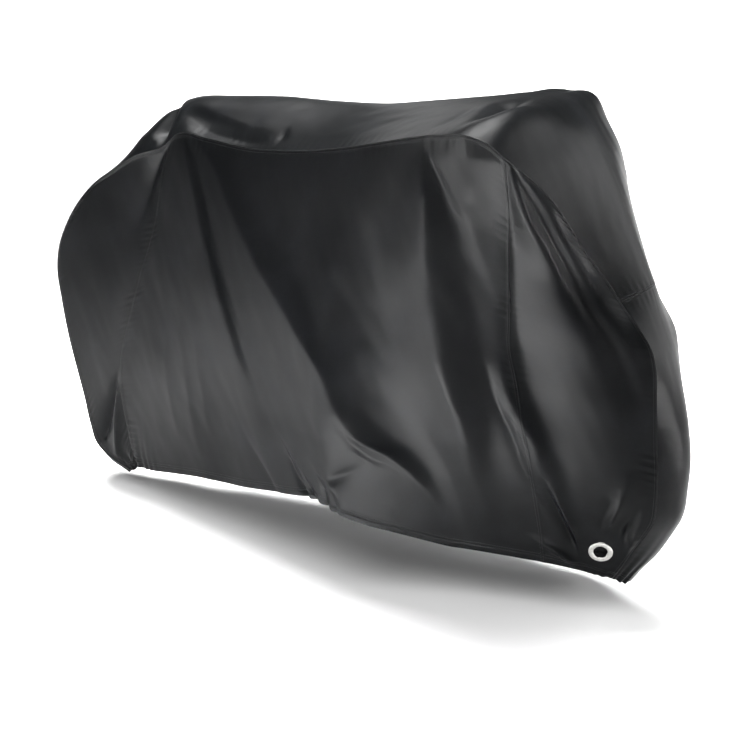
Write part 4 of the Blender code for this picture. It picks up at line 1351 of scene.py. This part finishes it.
    def seams(self, fact: Dict[str, Array]) -> Array:
        """Lapped seams along the gusset and the two uprights, their puckers, and the hem."""
        rear, middle, front = (fact["panel"] == k for k in range(3))
        top, left, right, hem = (fact[word] for word in ("top", "left", "right", "hem"))
        lap = np.zeros_like(top)
        for distance in (top, np.where(front, np.inf, left), np.where(rear, np.inf, right)):
            lap = np.where(distance < 0.014, np.maximum(lap, lap_profile(distance)), lap)
        rise = lap + np.where(hem < 0.028, hem_profile(hem), 0.0)
        ends = np.where(rear, left, np.where(front, right, AWAY))
        rise += pucker("panel ends", top, ends, 1.0, self.seed)
        rear_seam = np.where(rear, right, np.where(middle, left, AWAY))
        lower = (1.0 + 2.0 * smooth_step((top - 0.55) / 0.2)) / 3.0
        rise += pucker("rear seam", top, rear_seam, lower, self.seed)
        front_seam = np.where(middle, right, np.where(front, left, AWAY))
        rise += pucker("front seam", top, front_seam, 1.0, self.seed)
        upper = 1.0 - smooth_step((top - 0.25) / 0.3)
        return rise + pucker("top seam", fact["seam"], top, upper, self.seed)

    def build(self, material: Material) -> None:
        """Make the side's three sheets."""
        for i, word in enumerate(self.panels):
            columns = slice(self.splits[i], self.splits[i + 1] + 1)
            cloth = self.cloth.part(slice(None), columns)
            panel = Panel(f"{word}_panel_{self.word}", f"side_{word}_{self.word}", cloth,
                          self.flats[word], ("gusset_top",), ("last",))
            thing = panel.build(material)
            if word == "front":
                self.ring.punch(thing)

    def stitch_rows(self) -> StitchRows:
        """The lines that the side's stitches follow, with their normals, by seam."""
        points, normals = self.cloth.points, self.cloth.normals
        last_row, last_column = points.shape[0] - 1, points.shape[1] - 1
        gusset, upright = [], []
        for k in LAP_STITCH:
            inner = slice(k, last_column + 1 - k)
            gusset.append((points[k, inner], normals[k, inner]))
            gusset += [(points[k:, column], normals[k:, column]) for column in (k, last_column - k)]
            upright += [(points[8:, column], normals[8:, column])
                        for column in (self.splits[1] + k, self.splits[2] - k)]
        hem = [(points[last_row - k], normals[last_row - k]) for k in HEM_STITCH]
        return {f"{seam}_stitches_{self.word}": rows
                for seam, rows in (("gusset", gusset), ("upright", upright), ("hem", hem))}


@dataclass
class Gusset:
    """The strip over the top, in two panels sewn across above the front wheel.

    Attributes:
        across: Even cells across it.
        cell: Length of its cells along it.
        flats: Width, length and area of the flat cloth that each panel is cut from.
    """

    across: int = 56
    cell: float = 0.0062
    flats: Tuple[Point, Point] = ((0.62, 3.00, 0.760), (0.19, 0.74, 0.121))

    def lay(self, form: CoverForm) -> None:
        """Lay the gusset's cloth on the cover's form, with its folds, creases and seams."""
        cross = form.place["cross seam"]
        total = form.lengths[-1]
        first = Steps(HEM_STEPS, LAP_STEPS, round(cross / self.cell))
        second = Steps(PLAIN_STEPS, HEM_STEPS, round((total - cross) / self.cell))
        at = np.concatenate([first.offset + first.share * cross,
                             (cross + second.offset + second.share * (total - cross))[1:]])
        self.split = len(first) - 1
        side = Steps(PLAIN_STEPS, PLAIN_STEPS, self.across)
        near, crown, far = (form.gusset(at, np.full(len(at), t)) for t in (-1.0, 0.0, 1.0))
        chord = np.linalg.norm(near - far, axis=1)[:, None]
        # A tall arch is longer than it is wide, so its places across are spread by its height too.
        wide = np.hypot(chord, 2 * np.linalg.norm(crown - (near + far) / 2, axis=1)[:, None])
        u = side.offset[None, :] / wide + side.share[None, :]
        t = 2 * u - 1
        length = np.repeat(at[:, None], len(side), axis=1)
        grid = form.gusset(length, t)
        x, y, z = (grid[..., k] for k in range(3))
        inward = np.minimum(u, 1 - u)
        edge = inward * wide
        # Folds and creases are given from above, so they end where the strip turns down.
        top, shoulder = smooth_step((z - 0.90) / 0.05), smooth_step((z - 0.78) / 0.06)
        rise = fold_rise(GUSSET_FOLDS, {}, x, y) * smooth_step(inward * 4.0) * top
        rise += crease_rise(GUSSET_CREASES, x, y) * smooth_step(edge / 0.012) * shoulder
        slack = sum(tall * drift(length * drawn, t * chord, size, seed)
                    for tall, drawn, size, seed in GUSSET_SLACK)
        rise += slack * smooth_step(edge / 0.05) + self.sewing(length, t, edge, total, cross)
        folded = grid + self.outward(grid) * rise[..., None]
        normal = self.outward(folded)
        folded[..., 2] -= MOUNT_HEIGHT
        self.cloth = Sewn(folded, normal, t * wide / 2 + 2.0, length + 6.0)

    def outward(self, grid: Array) -> Array:
        """Outward normals of the gusset."""
        normal = grid_normals(grid)
        return normal * np.sign(normal[len(grid) // 2, :, 2].sum())

    def sewing(self, length: Array, t: Array, edge: Array, total: float, cross: float) -> Array:
        """Hems and their gathers, puckers and the lapped cross seam.

        Args:
            length: Length of the points along the gusset.
            t: Place across it.
            edge: Distance from its nearer seam.
            total: Length of the gusset.
            cross: Length at which the cross seam lies.

        Returns:
            The rise at each point.
        """
        hem = np.minimum(length, total - length)
        before = cross - length
        rise = np.where(hem < 0.028, hem_profile(hem), 0.0)
        rise += np.where((before >= 0) & (before < 0.014), lap_profile(np.maximum(before, 0)), 0.0)
        rise += pucker("gusset edges", length, edge)
        rise += pucker("cross seam", t * 0.1 + 1.0, np.abs(before))
        # The drawn hem gathers the strip at both ends.
        wave = np.sin(math.tau * t * 2.6 + 3.0 * drift(t, hem, 0.7, 67.0))
        return rise + 0.0022 * wave * np.exp(-hem / 0.055) * smooth_step(edge / 0.008)

    def build(self, material: Material) -> None:
        """Make the gusset's two sheets."""
        parts = (("top_gusset", "gusset_top", slice(0, self.split + 1), ("first",)),
                 ("front_gusset", "gusset_front", slice(self.split, None), ("last",)))
        for (name, node, rows, hems), flat in zip(parts, self.flats):
            panel = Panel(name, node, self.cloth.part(rows, slice(None)), flat, (), hems)
            panel.build(material)

    def stitch_rows(self) -> StitchRows:
        """The lines that the gusset's stitches follow, with their normals, by seam."""
        points, normals = self.cloth.points, self.cloth.normals
        places = {"cross_stitches_gusset": [self.split - k for k in LAP_STITCH],
                  "hem_stitches_gusset": [*HEM_STITCH, *(-1 - k for k in HEM_STITCH)]}
        return {name: [(points[k], normals[k]) for k in rows] for name, rows in places.items()}


@dataclass
class Stitching:
    """Rows of lockstitch along the seams and hems.

    Attributes:
        pitch: Distance from stitch to stitch.
        share: Share of the pitch that shows as thread.
        radius: Half the thread's thickness.
    """

    pitch: float = 0.0046
    share: float = 0.78
    radius: float = 0.00042

    def model(self) -> Tuple[Array, Array]:
        """Model one stitch by hand, and read its points and triangles."""
        select_only()
        bpy.ops.mesh.primitive_ico_sphere_add(subdivisions=1, radius=1.0)
        stitch = bpy.context.object
        bpy.ops.object.mode_set(mode="EDIT")
        bpy.ops.mesh.select_all(action="SELECT")
        bpy.ops.transform.rotate(value=math.radians(90), orient_axis="Y", center_override=(0, 0, 0))
        bpy.ops.transform.resize(value=(self.pitch * self.share / 2, self.radius, self.radius * 0.8))
        bpy.ops.object.mode_set(mode="OBJECT")
        points = np.array([v.co[:] for v in stitch.data.vertices])
        faces = np.array([p.vertices[:] for p in stitch.data.polygons])
        bpy.data.objects.remove(stitch, do_unlink=True)
        return points, faces

    def places(self, line: Array, normals: Array) -> Tuple[Array, Array]:
        """Where the stitches of one row lie.

        Args:
            line: The line that they follow.
            normals: The cloth's normals along it.

        Returns:
            Their middles, and matrices that turn a stitch along the line.
        """
        lengths = run_lengths(line)
        count = max(int(lengths[-1] / self.pitch), 1)
        at = (np.arange(count) + 0.5) * lengths[-1] / count

        def read(table: Array, step: float) -> Array:
            """The table's values a step away from each stitch."""
            return np.stack([np.interp(at + step, lengths, table[:, k]) for k in range(3)], axis=1)

        run = unit(read(line, 0.002) - read(line, -0.002))
        up = read(normals, 0.0)
        up = unit(up - (up * run).sum(axis=1, keepdims=True) * run)
        turn = np.stack([run, np.cross(up, run), up], axis=2)
        return read(line, 0.0) + up * self.radius * 0.35, turn

    def build(self, name: str, rows: Sequence[Tuple[Array, Array]], material: Material) -> Thing:
        """Copy the stitch along rows of points.

        Args:
            name: The piece's name.
            rows: The lines that the stitches follow, with their normals.
            material: The thread.

        Returns:
            One mesh with all of these stitches.
        """
        points, faces = self.model()
        centre, turn = (np.concatenate(values) for values in zip(*(self.places(*row) for row in rows)))
        verts = np.einsum("nij,vj->nvi", turn, points) + centre[:, None]
        index = faces[None] + (np.arange(len(centre)) * len(points))[:, None, None]
        mesh = bpy.data.meshes.new(name)
        mesh.from_pydata(verts.reshape(-1, 3).tolist(), [], index.reshape(-1, 3).tolist())
        mesh.shade_smooth()
        thing = bpy.data.objects.new(name, mesh)
        bpy.context.scene.collection.objects.link(thing)
        settle(thing, material)
        return thing


# ---------------------------------------------------------------- studio
@dataclass(frozen=True)
class Softbox:
    """A rectangular lamp, face down unless it is aimed.

    Attributes:
        name: Its name.
        place: Where it hangs.
        size: Width and height of its face.
        watts: Its power.
        spread: How widely it shines, in degrees; a honeycomb in front of it narrows it.
        aim: What it points at.
    """

    name: str
    place: Point
    size: Tuple[float, float]
    watts: float
    spread: float = 50.0
    aim: Point | None = None

    def hang(self, floor: float) -> None:
        """Hang the lamp over a floor."""
        data = bpy.data.lights.new(self.name, "AREA")
        data.shape = "RECTANGLE"
        data.size, data.size_y = self.size
        data.energy = self.watts
        data.spread = math.radians(self.spread)
        thing = bpy.data.objects.new(self.name, data)
        bpy.context.scene.collection.objects.link(thing)
        thing.location = self.place
        # A hair off straight down, so that the lamp's turn is settled.
        aim = self.aim or (self.place[0], self.place[1] - 0.001, floor)
        thing.rotation_euler = (Vector(aim) - Vector(self.place)).to_track_quat("-Z", "Z").to_euler()


@dataclass
class Studio:
    """A white floor, soft light from all round, and the camera.

    The cloth mirrors the floor, so the pools of light of the low lamps draw its folds.
    """

    floor: float = -MOUNT_HEIGHT
    lens_mm: float = 60.2
    camera: Point = (1.4271, -2.3984, 0.3630)
    azimuth: float = 0.51123
    pitch: float = 0.34395
    floor_size: float = 90.0
    ambient: float = 0.05           # the room's own light
    silk_energy: float = 2.4        # a wide sheet of silk overhead, its face and its tilt in degrees
    silk_face: float = 55.0
    silk_tilt: Tuple[float, float] = (24.0, 6.0)
    softboxes: Tuple[Softbox, ...] = (
        Softbox("key_softbox", (-1.35, -1.5, -0.15), (1.0, 0.4), 66.0),
        Softbox("left_softbox", (-1.2, -0.75, -0.15), (0.4, 0.3), 5.0),
        Softbox("front_softbox", (0.1, -0.85, -0.15), (0.9, 0.3), 40.0),
        Softbox("right_softbox", (3.2, 0.3, -0.15), (0.5, 0.5), 350.0),
        Softbox("back_softbox", (4.2, 3.0, 1.2), (4.5, 5.0), 230.0, 180.0, (0.5, 0.0, 0.1)),
        Softbox("top_softbox", (-3.4, 4.2, 1.5), (3.0, 1.6), 26.0, 180.0, (-0.2, 0.0, 0.0)),
        Softbox("floor_softbox", (-0.6, 0.7, 2.2), (3.0, 1.8), 150.0, 75.0),
        Softbox("background_softbox", (-9.0, 17.0, 7.0), (26.0, 26.0), 6500.0, 60.0),
    )

    def build(self) -> None:
        """Set the floor, world, lights and camera."""
        scene = bpy.context.scene
        scene.view_settings.view_transform = "Standard"
        select_only()
        bpy.ops.mesh.primitive_plane_add(size=self.floor_size, location=(0, 0, 0))
        floor = bpy.context.object
        floor.name = "studio_floor"
        floor.data.transform(Matrix.Translation((0, 0, self.floor)))
        floor.data.materials.append(StudioFloor().material())

        world = bpy.data.worlds.new("studio_world")
        scene.world = world
        world.use_nodes = True
        back = world.node_tree.nodes["Background"]
        back.inputs["Color"].default_value = linear("#ffffff")
        back.inputs["Strength"].default_value = self.ambient

        sky = bpy.data.lights.new("overhead_silk", "SUN")
        sky.energy = self.silk_energy
        sky.angle = math.radians(self.silk_face)
        silk = bpy.data.objects.new("overhead_silk", sky)
        scene.collection.objects.link(silk)
        silk.rotation_euler = (*(math.radians(tilt) for tilt in self.silk_tilt), 0.0)
        for lamp in self.softboxes:
            lamp.hang(self.floor)

        data = bpy.data.cameras.new("camera")
        data.lens = self.lens_mm
        data.sensor_width = 36.0
        data.clip_end = 100.0
        camera = bpy.data.objects.new("camera", data)
        scene.collection.objects.link(camera)
        level = math.cos(self.pitch)
        right = Vector((math.cos(self.azimuth), math.sin(self.azimuth), 0.0))
        ahead = Vector((-right.y * level, right.x * level, -math.sin(self.pitch)))
        turn = Matrix((right, right.cross(ahead), -ahead)).transposed()
        camera.matrix_world = Matrix.Translation(self.camera) @ turn.to_4x4()
        scene.camera = camera
        log.info("studio: floor, world, %d lights and camera", len(self.softboxes) + 1)


def main() -> None:
    """Build the cover panel by panel, then its sewing, its eyelets and the studio."""
    logging.basicConfig(level=logging.INFO, format="%(name)s: %(message)s")
    cloth, thread, metal = CoatedNylon().material(), SewingThread().material(), NickelledBrass().material()
    form = CoverForm()
    near_ring = EyeletRing(Side.NEAR, (0.67966, -0.08649, -0.89114), (0.288226, -0.928759, -0.233093))
    far_ring = EyeletRing(Side.FAR, (0.67962, 0.08710, -0.89114), (0.271244, 0.933838, -0.233183))
    near = SidePanels(near_ring, 156, {"rear": 50, "middle": 236, "front": 58}, NEAR_CREASES,
                      facets=NEAR_FACETS)
    far = SidePanels(far_ring, 110, {"rear": 34, "middle": 132, "front": 36}, FAR_CREASES,
                     folds=FAR_FOLDS, seed=100.0, sag=0.07)
    groups = (near, far, Gusset())
    for group in groups:
        group.lay(form)
        group.build(cloth)
    stitching = Stitching()
    for group in groups:
        for name, rows in group.stitch_rows().items():
            stitching.build(name, rows, thread)
    for ring in (near_ring, far_ring):
        ring.build(metal)
    Studio().build()


if __name__ == "__main__":
    main()
